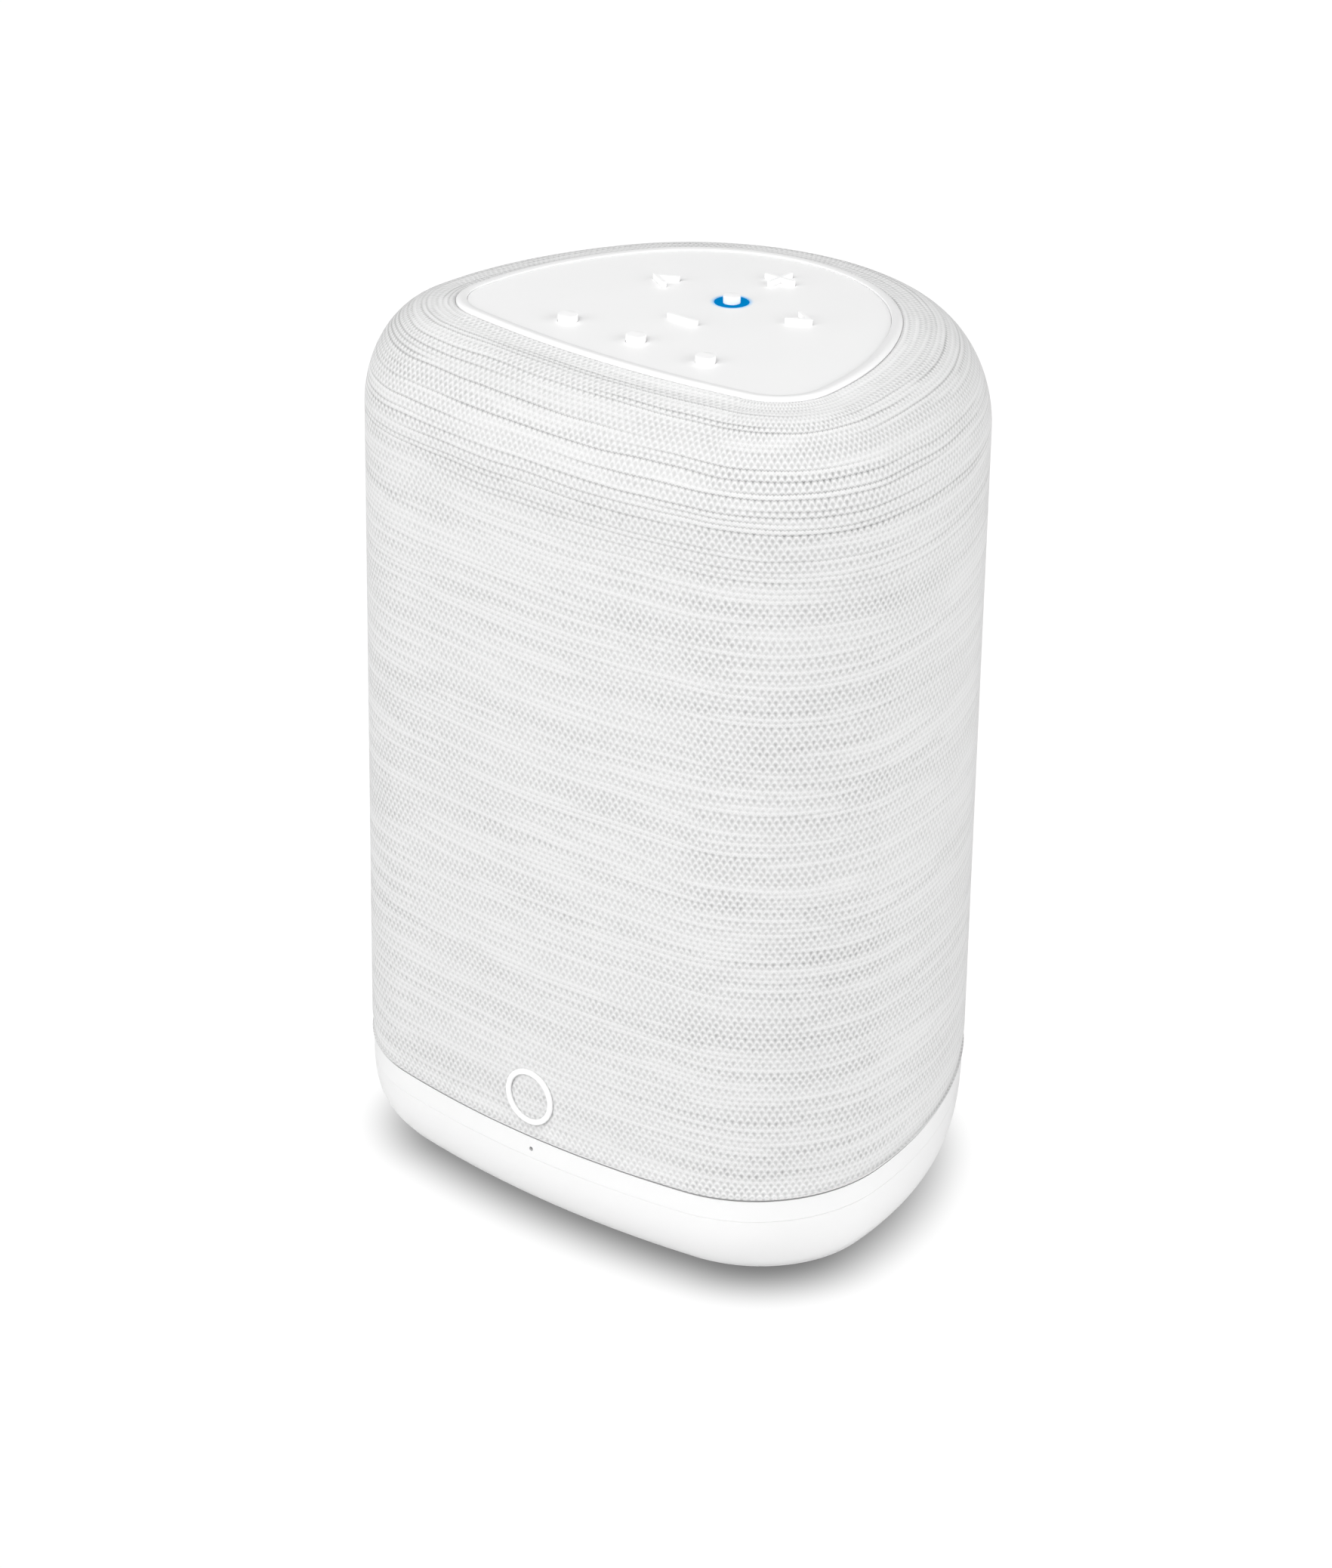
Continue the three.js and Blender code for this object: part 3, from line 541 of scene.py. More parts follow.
def knitted():
    """White polyester knit: the open_knit group shades the yarn and sinks the eyelets."""
    sheen = {"sheen_weight": 0.12, "sheen_roughness": 0.5}
    material, tree, shader = new_material("knitted_fabric", FABRIC_WHITE, 0.92, **sheen)
    stitches = put(tree, "ShaderNodeUVMap", uv_map="stitches").outputs[0]
    knit = put(tree, "ShaderNodeGroup", node_tree=KNIT)
    tree.links.new(stitches, knit.inputs["Stitches"])
    # the rim field brings painted light: it lightens the knit towards the bezel
    for label in ("Open", "Crown", "Rim"):
        drawn = put(tree, "ShaderNodeAttribute", attribute_name=label.lower())
        tree.links.new(drawn.outputs["Fac"], knit.inputs[label])
    tint = put(tree, "ShaderNodeVectorMath", FABRIC_WHITE, operation="SCALE")
    tree.links.new(knit.outputs["Shade"], tint.inputs["Scale"])
    tree.links.new(tint.outputs[0], shader.inputs["Base Color"])
    bump = tree.nodes.new("ShaderNodeBump")
    bump.inputs["Strength"].default_value = 0.4
    bump.inputs["Distance"].default_value = 0.00020
    tree.links.new(knit.outputs["Height"], bump.inputs["Height"])
    tree.links.new(bump.outputs[0], shader.inputs["Normal"])
    return material


def panel_material():
    """Matt white panel with painted light: the blue glow of the ring of light, painted on for about a
    millimetre round it.
    """
    material = moulded("panel_plastic", PANEL_WHITE, 0.5, 2600.0, 0.25, 0.02)
    tree = material.node_tree
    shader = tree.nodes["Principled BSDF"]
    place = tree.nodes.new("ShaderNodeTexCoord").outputs["Object"]
    ring = (0, PLAY_Y * MM, PANEL_TOP * MM)
    away = put(tree, "ShaderNodeVectorMath", place, ring, operation="DISTANCE").outputs["Value"]
    # painted light: the ring's blue glow on the panel, strongest at the ring's edge and gone 1.3 mm beyond it
    painted_glow = blend_step(tree, away, (RING_R + 1.3) * MM, (RING_R - 0.1) * MM)
    painted_glow = calc(tree, "MULTIPLY", calc(tree, "POWER", painted_glow, 1.8), 0.85)
    painted_glow = calc(tree, "MULTIPLY", painted_glow, calc(tree, "GREATER_THAN", away, (RING_R - 0.3) * MM))
    mix = put(tree, "ShaderNodeMix", painted_glow, data_type="RGBA")
    tree.links.new(shader.inputs["Base Color"].links[0].from_socket, mix.inputs["A"])
    mix.inputs["B"].default_value = (0.18, 0.52, 0.9, 1)
    tree.links.new(mix.outputs["Result"], shader.inputs["Base Color"])
    return material


FABRIC_WHITE = (0.635, 0.635, 0.635)
PANEL_WHITE = (0.84, 0.84, 0.84)
SHELL_WHITE = (0.675, 0.675, 0.675)
# painted light: a lighter copy of the shell's white, for the bezel and the badge, to lift their shaded faces
PAINTED_LIGHT_SHELL_WHITE = (0.77, 0.77, 0.77)
# painted light: a lighter copy of the panel's white, for the keys, to lift their shaded sides
PAINTED_LIGHT_PANEL_WHITE = (0.875, 0.875, 0.875)
finishes = {
    "white_plastic": moulded("white_plastic", SHELL_WHITE, 0.38, 1800.0, 0.10, 0.015),
    # the next two are lighter copies of the shell's and the panel's white: painted light
    "white_plastic_painted_light": moulded("white_plastic_painted_light", PAINTED_LIGHT_SHELL_WHITE, 0.45, 1800.0, 0.10, 0.015),
    "panel_plastic_painted_light": moulded("panel_plastic_painted_light", PAINTED_LIGHT_PANEL_WHITE, 0.5, 1800.0, 0.10, 0.015),
    "panel_plastic": panel_material(),
    "clear_plastic": moulded("clear_plastic", (0.16, 0.17, 0.18), 0.12),
    "black_plastic": moulded("black_plastic", (0.018, 0.018, 0.02), 0.45, 2200.0, 0.3, 0.2),
    "inner_plastic": moulded("inner_plastic", (0.045, 0.047, 0.05), 0.55, 1400.0, 0.3, 0.2),
    "black_rubber": moulded("black_rubber", (0.02, 0.02, 0.02), 0.8, 2400.0, 0.5, 0.3),
    "grey_rubber": moulded("grey_rubber", (0.27, 0.27, 0.28), 0.85, 2600.0, 0.6, 0.15),
    "circuit_board": moulded("circuit_board", (0.01, 0.09, 0.03), 0.35, 900.0, 0.2, 0.3),
    "cone_paper": moulded("cone_paper", (0.02, 0.02, 0.022), 0.75, 3200.0, 0.6, 0.3),
    "steel": brushed("zinc_steel", (0.62, 0.63, 0.65), 0.34),
    "aluminium": brushed("aluminium", (0.78, 0.79, 0.8), 0.38),
    "copper": brushed("copper_winding", (0.72, 0.34, 0.18), 0.35, (200.0, 6000.0, 200.0)),
    "gold": brushed("gold_contact", (0.83, 0.62, 0.27), 0.28),
    "fabric": knitted(),
}
finishes["blue_light"] = new_material(
    "ring_light",
    (0.0, 0.03, 0.08),
    0.6,
    emission_color=(0.0, 0.185, 0.47, 1.0),
    emission_strength=1.0,
    specular_ior_level=0.0,
)[0]


# ------------------------------------------------------------------ fabric sleeve
def shoulder(depth, steps):
    """The shoulder at a depth under the face: a quarter of a superellipse of power p.

    inset = depth + a * (1 - cos(t) ** p) and z = foot + b * sin(t) ** p, for t up to a quarter turn."""
    turn = np.linspace(0, math.pi / 2, steps + 1)
    cos, sin = np.cos(turn) ** SHOULDER_POWER, np.sin(turn) ** SHOULDER_POWER
    inset = depth + (SHOULDER_INSET - depth * 0.4) * (1 - cos)
    z = CROWN_Z - SHOULDER_DROP + (SHOULDER_DROP - depth) * sin
    return np.stack([inset, z, np.zeros_like(z)], 1)


def fabric_sleeve():
    """The sleeve as one closed shell: outside up the wall and over the shoulder, back down the inside.

    Its map counts stitches: columns round the outline, and rows down each column from the rim."""
    rows = np.linspace(0, 1, 34)
    foot_z = CROWN_Z - SHOULDER_DROP
    wall_low = FABRIC_EDGE_Z + 0.6
    strip = eased([[0, 0], [0, 8], [FABRIC, 8], [FABRIC, 0]], 0.55, 5)
    hem = strip[strip[:, 1] < 4]
    middle = len(hem) // 2
    hem_out = [(x, FABRIC_EDGE_Z + y, EDGE_SLOPE) for x, y in hem[:middle]][::-1]
    hem_in = [(x, FABRIC_EDGE_Z + y, EDGE_SLOPE) for x, y in hem[middle:]][::-1]

    def wall(depth):
        """The levels between hem and shoulder, which lose the hem's slope on their way up."""
        z = wall_low + (foot_z - wall_low) * rows
        return np.stack([np.full_like(z, depth), z, EDGE_SLOPE * (1 - rows)], 1)[1:-1]

    end = BEZEL_INSET - 0.03
    rise = [(15.6, 0.14), (16.8, 0.35), (17.7, 0.62), (18.1, 0.64), (end, 0.4)]
    rim = [(inset, CROWN_Z + up, 0) for inset, up in rise]
    outside = np.concatenate([hem_out, wall(0), shoulder(0, 22), rim])
    inner_rim = [(end, CROWN_Z - 0.9, 0)]
    inside = np.concatenate([inner_rim, shoulder(FABRIC, 12)[::-1], wall(FABRIC)[::-1], hem_in])
    levels = np.concatenate([outside, inside])
    points = loft_points(levels)
    row_count, columns = points.shape[:2]
    faces = grid_faces(row_count, columns, True)
    piece = new_piece("fabric_sleeve_knit", points.reshape(-1, 3), faces.tolist(), finishes["fabric"], 180)

    around = run_length(outline())
    stitches_round = round(around[-1] / STITCH_WIDE)
    u = around / around[-1] * stitches_round
    crest = len(outside) - 1
    steps = np.linalg.norm(np.diff(points, axis=0), axis=2)
    path = np.concatenate([np.zeros((1, columns)), np.cumsum(steps, 0)])
    v = (path - path[crest]) / STITCH_HIGH
    k, i = np.divmod(np.arange(len(faces)), columns)
    up, j = (k + 1) % row_count, (i + 1) % columns
    turn_back = v[-1] + 1.0
    closing = np.stack([turn_back[j], turn_back[i]], 1)
    above = np.stack([v[up, j], v[up, i]], 1)
    v_up = np.where((up == 0)[:, None], closing, above)
    corners = np.stack(
        [
            np.stack([u[i], v[k, i]], 1),
            np.stack([u[i + 1], v[k, j]], 1),
            np.stack([u[i + 1], v_up[:, 0]], 1),
            np.stack([u[i], v_up[:, 1]], 1),
        ],
        1,
    )
    open_ring = np.interp(ARCS[:, 2], [CORNER_R, SIDE_BOW_R], [1.0, 0.72])
    for _ in range(8):
        open_ring = (np.roll(open_ring, 1) + open_ring * 2 + np.roll(open_ring, -1)) / 4
    crown = np.clip((levels[:, 1] - (foot_z - 12)) / 20, 0, 1)
    # painted light: rises from 0 at 6 mm in from the outline to 1 at 15 mm, lightening the knit towards the
    # bezel
    rim_painted_light = np.clip((levels[:, 0] - 6) / 9, 0, 1)
    for label, values in (
        ("rim", np.broadcast_to(rim_painted_light[:, None], (row_count, columns))),
        ("open", np.broadcast_to(open_ring, (row_count, columns))),
        ("crown", np.broadcast_to(crown[:, None], (row_count, columns))),
    ):
        field = piece.data.attributes.new(label, "FLOAT", "POINT")
        field.data.foreach_set("value", values.reshape(-1).astype(np.float32))
    layer = piece.data.uv_layers.new(name="stitches")
    layer.data.foreach_set("uv", corners.reshape(-1).astype(np.float32))
    belongs(piece, "housing", "fabric", "fabric_sleeve")
    return piece


# ------------------------------------------------------------------ base
def pan_side(low, extra, steps=26):
    """The pan's side: inset + taper * (1 - z / edge) ** power, from a low height up to the seam."""
    share = np.linspace(0, 1, steps + 1) ** 1.5
    z = low + (SEAM_Z - GAP / 2 - low) * share
    inset = BASE_INSET + BASE_TAPER * np.maximum(1 - z / FABRIC_EDGE_Z, 0) ** TAPER_POWER + extra
    return np.stack([inset, z, EDGE_SLOPE * share], 1)


def base_ring():
    """The band between the fabric and the seam, with eased edges and a pinhole for the status light."""
    low, high = SEAM_Z + SEAM_GAP, FABRIC_EDGE_Z - GAP
    inner = BASE_INSET + WALL
    section = eased([[BASE_INSET, low], [BASE_INSET, high], [inner, high], [inner, low]], 0.07, 4)
    levels = [(inset, z, EDGE_SLOPE) for inset, z in section]
    piece = loft("base_ring_band", levels, finishes["white_plastic"])
    cut(piece, [rod(0.5, -6, 2, "y", (0, FRONT, STATUS_Z), 24)])
    return belongs(piece, "housing", "white_plastic", "base_ring")


def base_pan():
    """The tapered pan in one section: foot groove, lip, side, rim, hollow and floor. Then its openings."""
    outside = pan_side(FOOT_LIFT + LIP_HIGH, 0)
    turn = np.linspace(0, math.pi / 2, 6)
    lip_in = outside[0, 0] + LIP_WIDE * (1 - np.cos(turn))
    lip_z = FOOT_LIFT + LIP_HIGH * (1 - np.sin(turn))
    lip = np.stack([lip_in, lip_z, np.zeros_like(turn)], 1)
    rim_z = SEAM_Z - SEAM_GAP
    rim = [(BASE_INSET + 0.01, rim_z - 0.06, EDGE_SLOPE), (BASE_INSET + 0.07, rim_z, EDGE_SLOPE)]
    mouth = [(BASE_INSET + WALL - 0.2, rim_z, EDGE_SLOPE), (BASE_INSET + WALL, rim_z - 0.2, EDGE_SLOPE)]
    inside = pan_side(PAN_FLOOR, WALL)[::-1][1:]
    near, far, deep = FOOT_OUT - GAP, FOOT_IN + GAP, FOOT_HIGH + GAP
    corners = [[near, FOOT_LIFT], [near, deep], [far, deep], [far, FOOT_LIFT]]
    groove = [(inset, z, 0) for inset, z in eased(corners, 0.15, 2)[::-1]]
    levels = [*groove, *lip, *outside[1:-1], *rim, *mouth, *inside]
    piece = loft("base_pan_shell", levels, finishes["white_plastic"], closed=False)
    tools = [box((BAY_WIDTH + 2 * GAP, 24, BAY_HIGH - BAY_LOW + 2 * GAP), (0, BAY_Y + 8.5, BAY_MIDDLE))]
    for radius, top, sides in ((3.0, 2.6, 40), (1.6, 6, 32)):
        tools += [rod(radius, -1, top, "z", (x, y, 0), sides) for x, y in SCREW_SPOTS]
    cut(piece, tools)
    return belongs(piece, "housing", "white_plastic", "base_pan")


def rubber_foot():
    """A flat rubber ring with rounded edges."""
    section = eased([[FOOT_OUT, 0], [FOOT_OUT, FOOT_HIGH], [FOOT_IN, FOOT_HIGH], [FOOT_IN, 0]], 0.45, 4)
    piece = loft("rubber_foot_ring", [(inset, z, 0) for inset, z in section], finishes["grey_rubber"])
    return belongs(piece, "housing", "grey_rubber", "rubber_foot")


def base_screws():
    """Pan-head screws with a cross recess."""
    head = [[0, 1.1], [2.1, 1.12], [2.55, 1.3], [2.7, 1.7], [2.7, 2.3]]
    shank = [[1.25, 2.3], [1.25, 14.6], [0.9, 15], [0, 15]]
    for number, (x, y) in enumerate(SCREW_SPOTS, 1):
        name = f"base_screw_{number}_cross_head"
        piece = turned(name, head + shank, finishes["steel"], "z", (x, y, 0), 40)
        arms = [box((3.2, 0.7, 1.6), (x, y, 1.0)), box((0.7, 3.2, 1.6), (x, y, 1.0))]
        cut(piece, arms)
        belongs(piece, "housing", "steel", f"base_screw_{number}")


# ------------------------------------------------------------------ sockets at the back
def stadium(wide, high, sides=16):
    """A loop with half-round ends, anticlockwise."""
    r = high / 2
    turn = np.linspace(-math.pi / 2, math.pi / 2, sides)
    right = np.stack([wide / 2 - r + r * np.cos(turn), r * np.sin(turn)], 1)
    return np.concatenate([right, -right])


def connector_bay():
    """The recess: a frame trimmed to the pan's side, and the wall that the sockets stand in."""
    plastic = finishes["white_plastic"]
    centre = np.array([0, BAY_MIDDLE])
    outer = rectangle(BAY_WIDTH, BAY_HIGH - BAY_LOW, 1.6) + centre
    inner = (rectangle(BAY_WIDTH - 3, BAY_HIGH - BAY_LOW - 3, 0.9) + centre)[::-1]
    surround = prism("surround", [outer, inner], -(BAY_Y + 14), -(BAY_Y - 2), plastic, 0.01, "y")
    trim = [*pan_side(FOOT_LIFT, GAP), (GAP + BASE_INSET, SEAM_Z + 8, EDGE_SLOPE)]
    cut(surround, [loft("tool", trim, None, closed=False)], "INTERSECT")
    holes = [
        (rectangle(16.6, 9.2, 0.6) + [INLET_X, BAY_MIDDLE])[::-1],
        (rectangle(14.6, 9.2, 0.6) + [NETWORK_X, BAY_MIDDLE])[::-1],
        (circle(3.6) + [AUDIO_X, BAY_MIDDLE])[::-1],
    ]
    back = rectangle(BAY_WIDTH - 3.02, BAY_HIGH - BAY_LOW - 3.02, 0.9) + centre
    wall = prism("wall", [back, *holes], -BAY_Y, -(BAY_Y - 2), plastic, 0.15, "y")
    bay = joined("connector_bay_recess", [surround, wall])
    return belongs(bay, "housing", "white_plastic", "connector_bay")


def socket_block(name, x, size, hole, depth, long, finish):
    """A socket: a tube with its hole, closed behind by a plain block."""
    body = rectangle(size[0], size[1], 0.5) + [x, BAY_MIDDLE]
    mouth = (hole + [x, BAY_MIDDLE])[::-1]
    tube = prism("tube", [body, mouth], -SOCKET_FACE, -(SOCKET_FACE - depth), finish, 0.18, "y")
    block = prism("block", [body], -(SOCKET_FACE - depth - 0.001), -(SOCKET_FACE - long), finish, 0.1, "y")
    return joined(name, [tube, block])


def sockets():
    """The mains inlet with its two pins, the network socket with its eight contacts, and the audio socket."""
    black, steel = finishes["black_plastic"], finishes["steel"]
    inlet = socket_block("mains_inlet_block", INLET_X, (16, 8.6), stadium(13.6, 6.8), 11, 14, black)
    belongs(inlet, "housing", "black_plastic", "mains_inlet")
    pin_long = 8.9
    tip = [[0, 0], [0.55, 0.05], [0.95, 0.35], [1.1, 0.9], [1.1, pin_long], [0, pin_long]]
    for number, side in ((1, -1), (2, 1)):
        spot = (INLET_X + side * PIN_PITCH / 2, SOCKET_FACE - 1.8, BAY_MIDDLE)
        pin = turned(f"mains_pin_{number}_round", tip, steel, "y", spot, 32)
        belongs(pin, "housing", "steel", f"mains_pin_{number}")
    mouth = np.array(
        [[-5.85, -1.6], [-3.2, -1.6], [-3.2, -2.4], [-1.6, -2.4], [-1.6, -3.3], [1.6, -3.3], [1.6, -2.4]]
        + [[3.2, -2.4], [3.2, -1.6], [5.85, -1.6], [5.85, 3.3], [-5.85, 3.3]]
    )
    network = socket_block("network_socket_can", NETWORK_X, (14, 8.6), mouth, 12, 15, steel)
    belongs(network, "housing", "steel", "network_socket")
    front, back = 2.5 - SOCKET_FACE, 11.8 - SOCKET_FACE
    wires = []
    for k in range(8):
        x = NETWORK_X + (k - 3.5) * 1.02
        section = rectangle(0.36, 0.3, 0.1) + [x, BAY_MIDDLE + 2.3]
        wires.append(prism("wire", [section], front, back, finishes["gold"], 0.05, "y"))
    belongs(joined("network_socket_contacts", wires), "housing", "steel")
    lip = [[0, 10], [1.8, 10], [1.8, 0.25], [2.05, 0], [3.0, 0], [3.3, 0.3], [3.3, 12], [0, 12]]
    audio = turned("audio_socket_sleeve", lip, black, "y", (AUDIO_X, SOCKET_FACE, BAY_MIDDLE))
    belongs(audio, "housing", "black_plastic", "audio_socket")


# ------------------------------------------------------------------ badge, bezel, panel and keys
def front_badge():
    """A plain ring with rounded edges, sunk a little into the fabric."""
    section = bar_section(BADGE_R - BADGE_HALF, BADGE_R + BADGE_HALF, -0.1, BADGE_PROUD, 0.28, 4)
    # the badge takes the lighter copy of the shell's white: painted light
    piece = turned("front_badge_ring", section, finishes["white_plastic_painted_light"], "y", (0, FRONT, BADGE_Z), 72)
    return belongs(piece, "housing", "white_plastic", "front_badge")


def top_bezel():
    """A ring with a full round outer shoulder, a top that leans gently inwards and a crisp inner edge."""
    turn = np.linspace(0, math.pi / 2, 9)
    outer = np.stack([1.15 * (1 - np.cos(turn)), BEZEL_TOP - 0.95 * (1 - np.sin(turn))], 1)
    lean = [(-0.65, 0.02), (-0.25, 0.06), (-0.08, 0.13), (0, 0.28)]
    top = [[across, BEZEL_TOP - drop] for across, drop in lean]
    ledge = [[0, FLANGE_TOP], [2, FLANGE_TOP], [2, 179.9], [-BEZEL_WIDTH, 179.9]]
    section = np.concatenate([outer, np.array(top + ledge) + [BEZEL_WIDTH, 0]])
    levels = [(BEZEL_INSET + inset, z, 0) for inset, z in section]
    # the bezel takes the lighter copy of the shell's white: painted light on its inward-leaning top
    ring = loft("top_bezel_ring", levels, finishes["white_plastic_painted_light"])
    return belongs(ring, "housing", "white_plastic", "top_bezel")


def round_loop(r):
    """The loop of a round key, as a function of how much wider it is to be."""
    return lambda grow: circle(r + grow)


def bar_loop(grow=0.0):
    """A level bar."""
    a, b = SIGN / 2 + grow, BAR / 2 + grow
    return eased([[-a, -b], [a, -b], [a, b], [-a, b]], SIGN_CORNER, 4)


def plus_loop(grow=0.0):
    """A cross of two bars as one loop of twelve corners."""
    a, b = SIGN / 2 + grow, BAR / 2 + grow
    quarter = np.array([[a, -b], [a, b], [b, b]])
    turns = [np.array([[0, -1], [1, 0]]), np.eye(2), np.array([[0, 1], [-1, 0]]), -np.eye(2)]
    corners = np.concatenate([quarter @ m for m in (turns[1], turns[2], turns[3], turns[0])])
    return eased(corners, SIGN_CORNER, 4)


def chevron_loop(side, grow=0.0):
    """Two strokes that meet in a sharp apex, as one loop of six corners."""
    half, tip = BAR / 2 + grow, CHEVRON_DEPTH / 2
    arm = np.array([CHEVRON_DEPTH, CHEVRON_HALF]) / math.hypot(CHEVRON_DEPTH, CHEVRON_HALF)
    across = np.array([arm[1], -arm[0]]) * half
    end = np.array([-tip, -CHEVRON_HALF]) - arm * grow
    outer, inner, mitre = end + across, end - across, half / arm[1]
    corners = np.array([outer, [tip + mitre, 0], outer * [1, -1], inner * [1, -1], [tip - mitre, 0], inner])
    corners[:, 0] *= side
    return eased(corners if side > 0 else corners[::-1], SIGN_CORNER, 4)


KEYS = {
    "preset_1": ((-KEY_PITCH, PRESET_Y), ROUND_RISE, round_loop(PRESET_R)),
    "preset_2": ((0, PRESET_Y), ROUND_RISE, round_loop(PRESET_R)),
    "preset_3": ((KEY_PITCH, PRESET_Y), ROUND_RISE, round_loop(PRESET_R)),
    "play": ((0, PLAY_Y), ROUND_RISE, round_loop(PLAY_R)),
    "previous": ((-KEY_PITCH, PLAY_Y), SIGN_RISE, lambda g: chevron_loop(-1, g)),
    "next": ((KEY_PITCH, PLAY_Y), SIGN_RISE, lambda g: chevron_loop(1, g)),
    "volume_down": ((0, PLAY_Y - VOLUME_PITCH), SIGN_RISE, bar_loop),
    "volume_up": ((0, PLAY_Y + VOLUME_PITCH), SIGN_RISE, plus_loop),
}


def control_panel():
    """The panel with a close hole for each key's sign and one for the ring of light."""
    holes = [(loop(KEY_CLEARANCE) + at)[::-1] for name, (at, _, loop) in KEYS.items() if name != "play"]
    holes.append(circle(RING_R + 0.06, 72, 0, PLAY_Y)[::-1])
    edge = outline(BEZEL_INSET + BEZEL_WIDTH + 0.06)
    low = PANEL_TOP - PANEL_THICK
    plate = prism("control_panel_plate", [edge, *holes], low, PANEL_TOP, finishes["panel_plastic"], 0.06)
    return belongs(plate, "housing", "panel_plastic", "control_panel")


def light_ring():
    """The light guide round the play key, just under the panel's face."""
    section = bar_section(PLAY_R + 0.12, RING_R, FLANGE_TOP + GAP, PANEL_TOP - 0.03, 0.05, 2)
    piece = turned("light_ring_guide", section, finishes["blue_light"], "z", (0, PLAY_Y, 0), 72)
    return belongs(piece, "housing", "blue_light", "light_ring")


def keys():
    """Each key: its sign with eased edges, on a round flange that stays under the panel."""
    under = [[0, FLANGE_LOW], [FLANGE_R - FLANGE_EASE, FLANGE_LOW], [FLANGE_R, FLANGE_LOW + FLANGE_EASE]]
    disc = [*under, [FLANGE_R, FLANGE_TOP], [0, FLANGE_TOP]]
    for name, ((x, y), rise, loop) in KEYS.items():
        top = PANEL_TOP + rise
        # the signs and flanges take the lighter copy of the panel's white: painted light
        sign = prism("sign", [loop(0) + [x, y]], FLANGE_TOP - 0.1, top, finishes["panel_plastic_painted_light"], KEY_EASE)
        flange = turned("flange", disc, finishes["panel_plastic_painted_light"], "z", (x, y, 0), 40)
        belongs(joined(f"key_{name}_cap", [sign, flange]), f"key_{name}", "panel_plastic", f"key_{name}")


# ------------------------------------------------------------------ nodes, stage, light and camera
FLOOR_SPREAD, FLOOR_THICK = 4500.0, 20.0
SHADE_IN, SHADE_OUT = -9.0, 11.0  # how far outside the foot's outline the shade is full, and gone
SHADE_SHIFT, SHADE_DARKEST = (4.5, -5.4), 0.2
WORLD = 0.30
LIGHTS = [
    ("front_light", (-1.1, -2.1, 0.7), 1.8, 31.3),
    ("back_right_light", (2.1, 1.2, 0.8), 1.8, 24.2),
    ("right_light", (2.3, -0.4, 0.8), 1.8, 29.7),
    ("top_light", (0.0, -1.3, 1.9), 1.8, 34.5),
]


def dress_nodes():
    """Gives every node that is still shown the finish of its slot."""
    slots = {row["node"]: row["material_slot"] for row in frame["record"]["subparts"]}
    for name, node in frame["nodes"].items():
        finish = finishes[slots[name]]
        node.data.materials.clear()
        node.data.materials.append(finish)


def floor_slab():
    """A wide slab with a soft shade drawn on it: the foot's outline, moved towards the camera and blurred.

    The field clear is s**2 * (3 - 2 * s), with s from 0 where the shade is full to 1 where it is gone."""
    outside = np.arange(SHADE_OUT, SHADE_IN - 0.5, -1.0)
    edge = [(-FLOOR_SPREAD, -FLOOR_THICK, 0), (-FLOOR_SPREAD, 0.0, 0)]
    slab = loft("floor", edge + [(BASE_TAPER - d, 0.0, 0) for d in outside], None, closed=False)
    slab.data.transform(Matrix.Translation(Vector((*SHADE_SHIFT, 0)) * MM))
    s = (outside - SHADE_IN) / (SHADE_OUT - SHADE_IN)
    rings = np.concatenate([[1.0, 1.0], s**2 * (3 - 2 * s)])
    clear = np.concatenate([np.repeat(rings, len(ARCS)), [1.0, 0.0]])
    slab.data.attributes.new("clear", "FLOAT", "POINT").data.foreach_set("value", clear.astype(np.float32))
    return slab


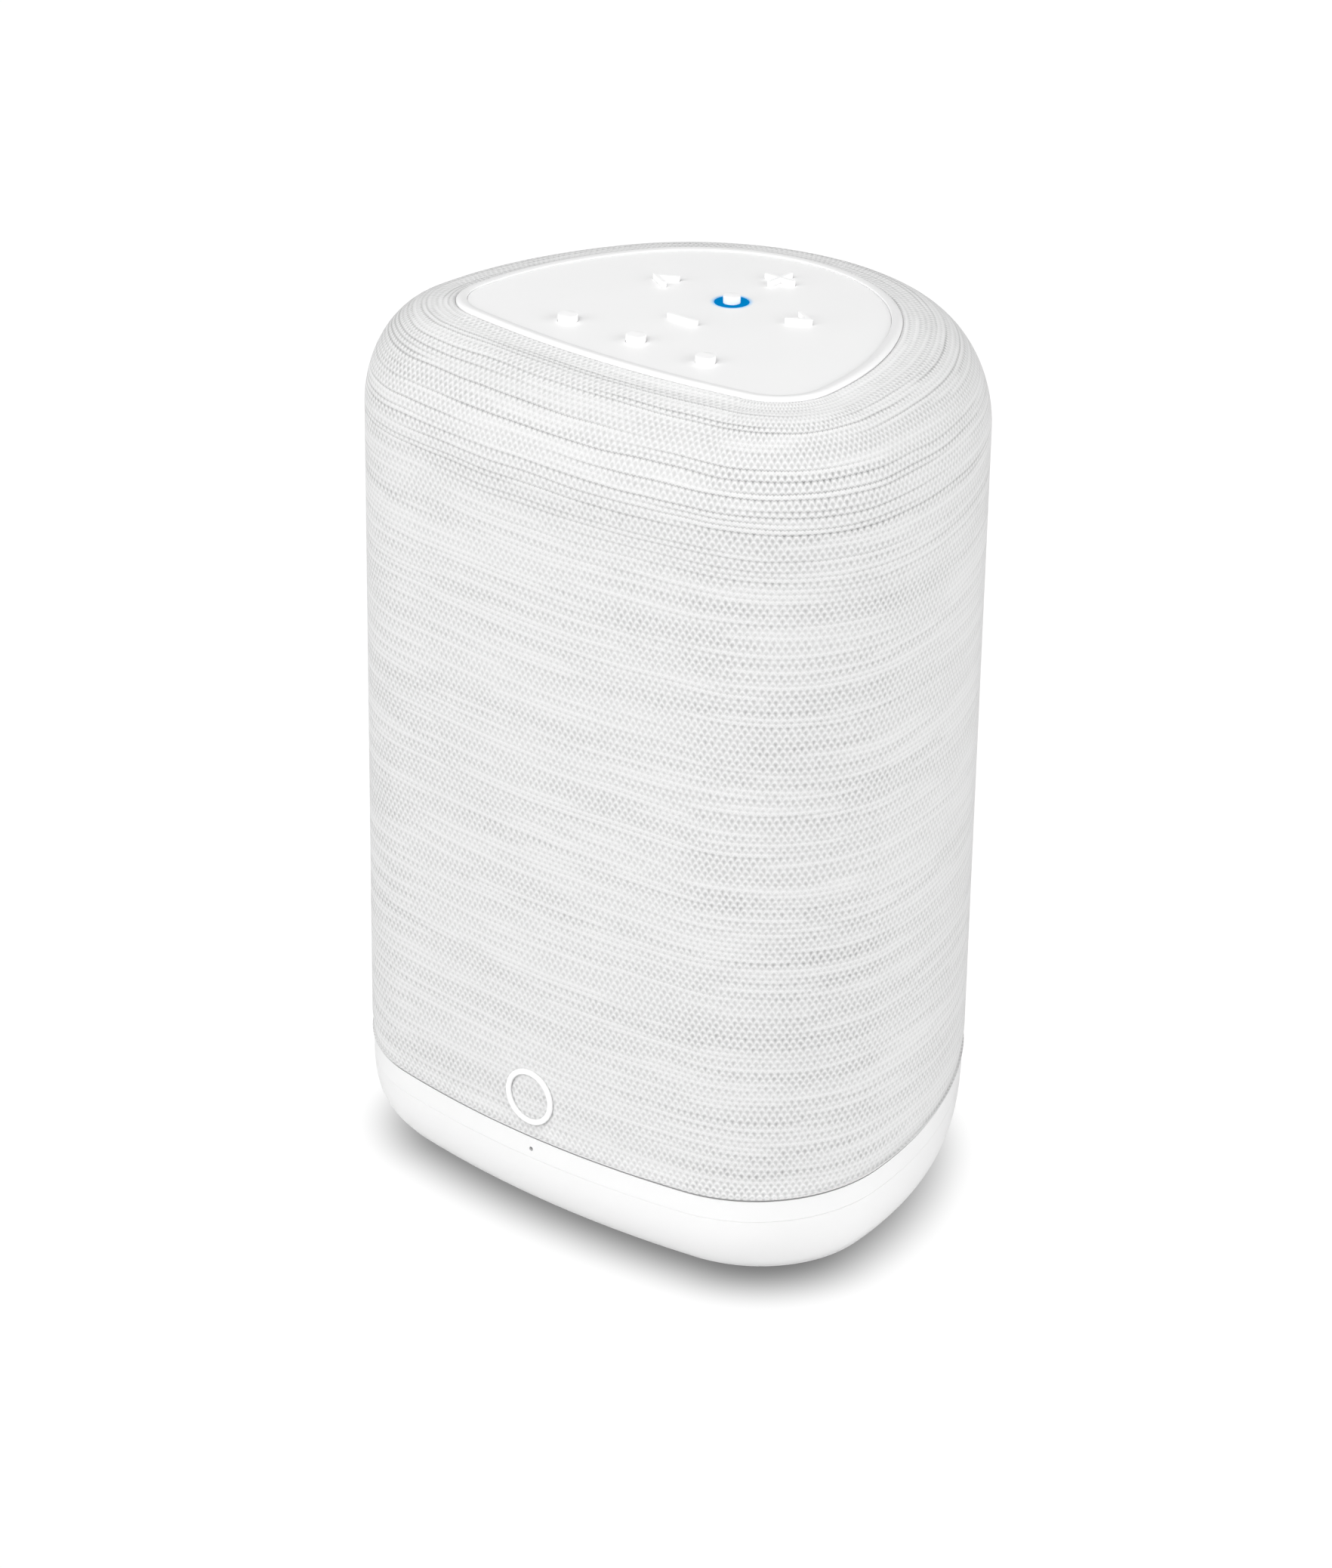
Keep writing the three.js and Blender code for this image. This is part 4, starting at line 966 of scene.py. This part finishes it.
def studio():
    """A pale floor that the camera sees as white with the shade on it, a pale surround, and soft lights."""
    floor = floor_slab()
    material = bpy.data.materials.new("floor")
    material.use_nodes = True
    tree = material.node_tree
    tree.nodes.clear()
    dull = put(tree, "ShaderNodeBsdfDiffuse", (0.8, 0.8, 0.8, 1))
    clear = put(tree, "ShaderNodeAttribute", attribute_name="clear").outputs["Fac"]
    shade = calc(tree, "MULTIPLY_ADD", clear, 1.0 - SHADE_DARKEST, SHADE_DARKEST)
    clean = put(tree, "ShaderNodeEmission", shade, 1.03)
    seen = tree.nodes.new("ShaderNodeLightPath").outputs["Is Camera Ray"]
    both = put(tree, "ShaderNodeMixShader", seen, dull.outputs[0], clean.outputs[0])
    out = tree.nodes.new("ShaderNodeOutputMaterial")
    tree.links.new(both.outputs[0], out.inputs[0])
    floor.data.materials.clear()
    floor.data.materials.append(material)

    world = bpy.data.worlds.new("surround")
    world.use_nodes = True
    world.node_tree.nodes["Background"].inputs[0].default_value = (1, 1, 1, 1)
    world.node_tree.nodes["Background"].inputs[1].default_value = WORLD
    bpy.context.scene.world = world

    for name, place, size, power in LIGHTS:
        lamp = bpy.data.lights.new(name, "AREA")
        lamp.shape, lamp.size, lamp.energy = "DISK", size, power
        thing = bpy.data.objects.new(name, lamp)
        bpy.context.collection.objects.link(thing)
        thing.location = place
        thing.rotation_euler = (Vector((0, 0, 0.09)) - Vector(place)).to_track_quat("-Z", "Y").to_euler()


def camera():
    """A long lens from the front right and a little above, with the framing's small roll and shift."""
    turn, rise, roll = math.radians(39.68), math.radians(25.47), math.radians(0.704)
    back = Vector((math.sin(turn) * math.cos(rise), -math.cos(turn) * math.cos(rise), math.sin(rise)))
    right = (-back).cross(Vector((0, 0, 1))).normalized()
    up = right.cross(-back)
    right, up = right * math.cos(roll) + up * math.sin(roll), up * math.cos(roll) - right * math.sin(roll)
    lens = bpy.data.cameras.new("camera")
    lens.sensor_width, lens.lens = 36.0, 112.28
    lens.shift_x, lens.shift_y = 0.0224, -0.0078
    lens.clip_start, lens.clip_end = 0.05, 50.0
    eye = bpy.data.objects.new("camera", lens)
    bpy.context.collection.objects.link(eye)
    aim, distance = Vector((-5.213, 3.56 - MIDDLE_Y, 86.884)) * MM, 1.002927
    axes = Matrix((right, up, back)).transposed()
    eye.matrix_world = Matrix.Translation(aim + back * distance) @ axes.to_4x4()
    bpy.context.scene.camera = eye


bpy.context.scene.view_settings.view_transform = "Standard"
camera()
studio()
dress_nodes()
fabric_sleeve()
base_ring()
base_pan()
rubber_foot()
base_screws()
connector_bay()
sockets()
front_badge()
top_bezel()
control_panel()
light_ring()
keys()
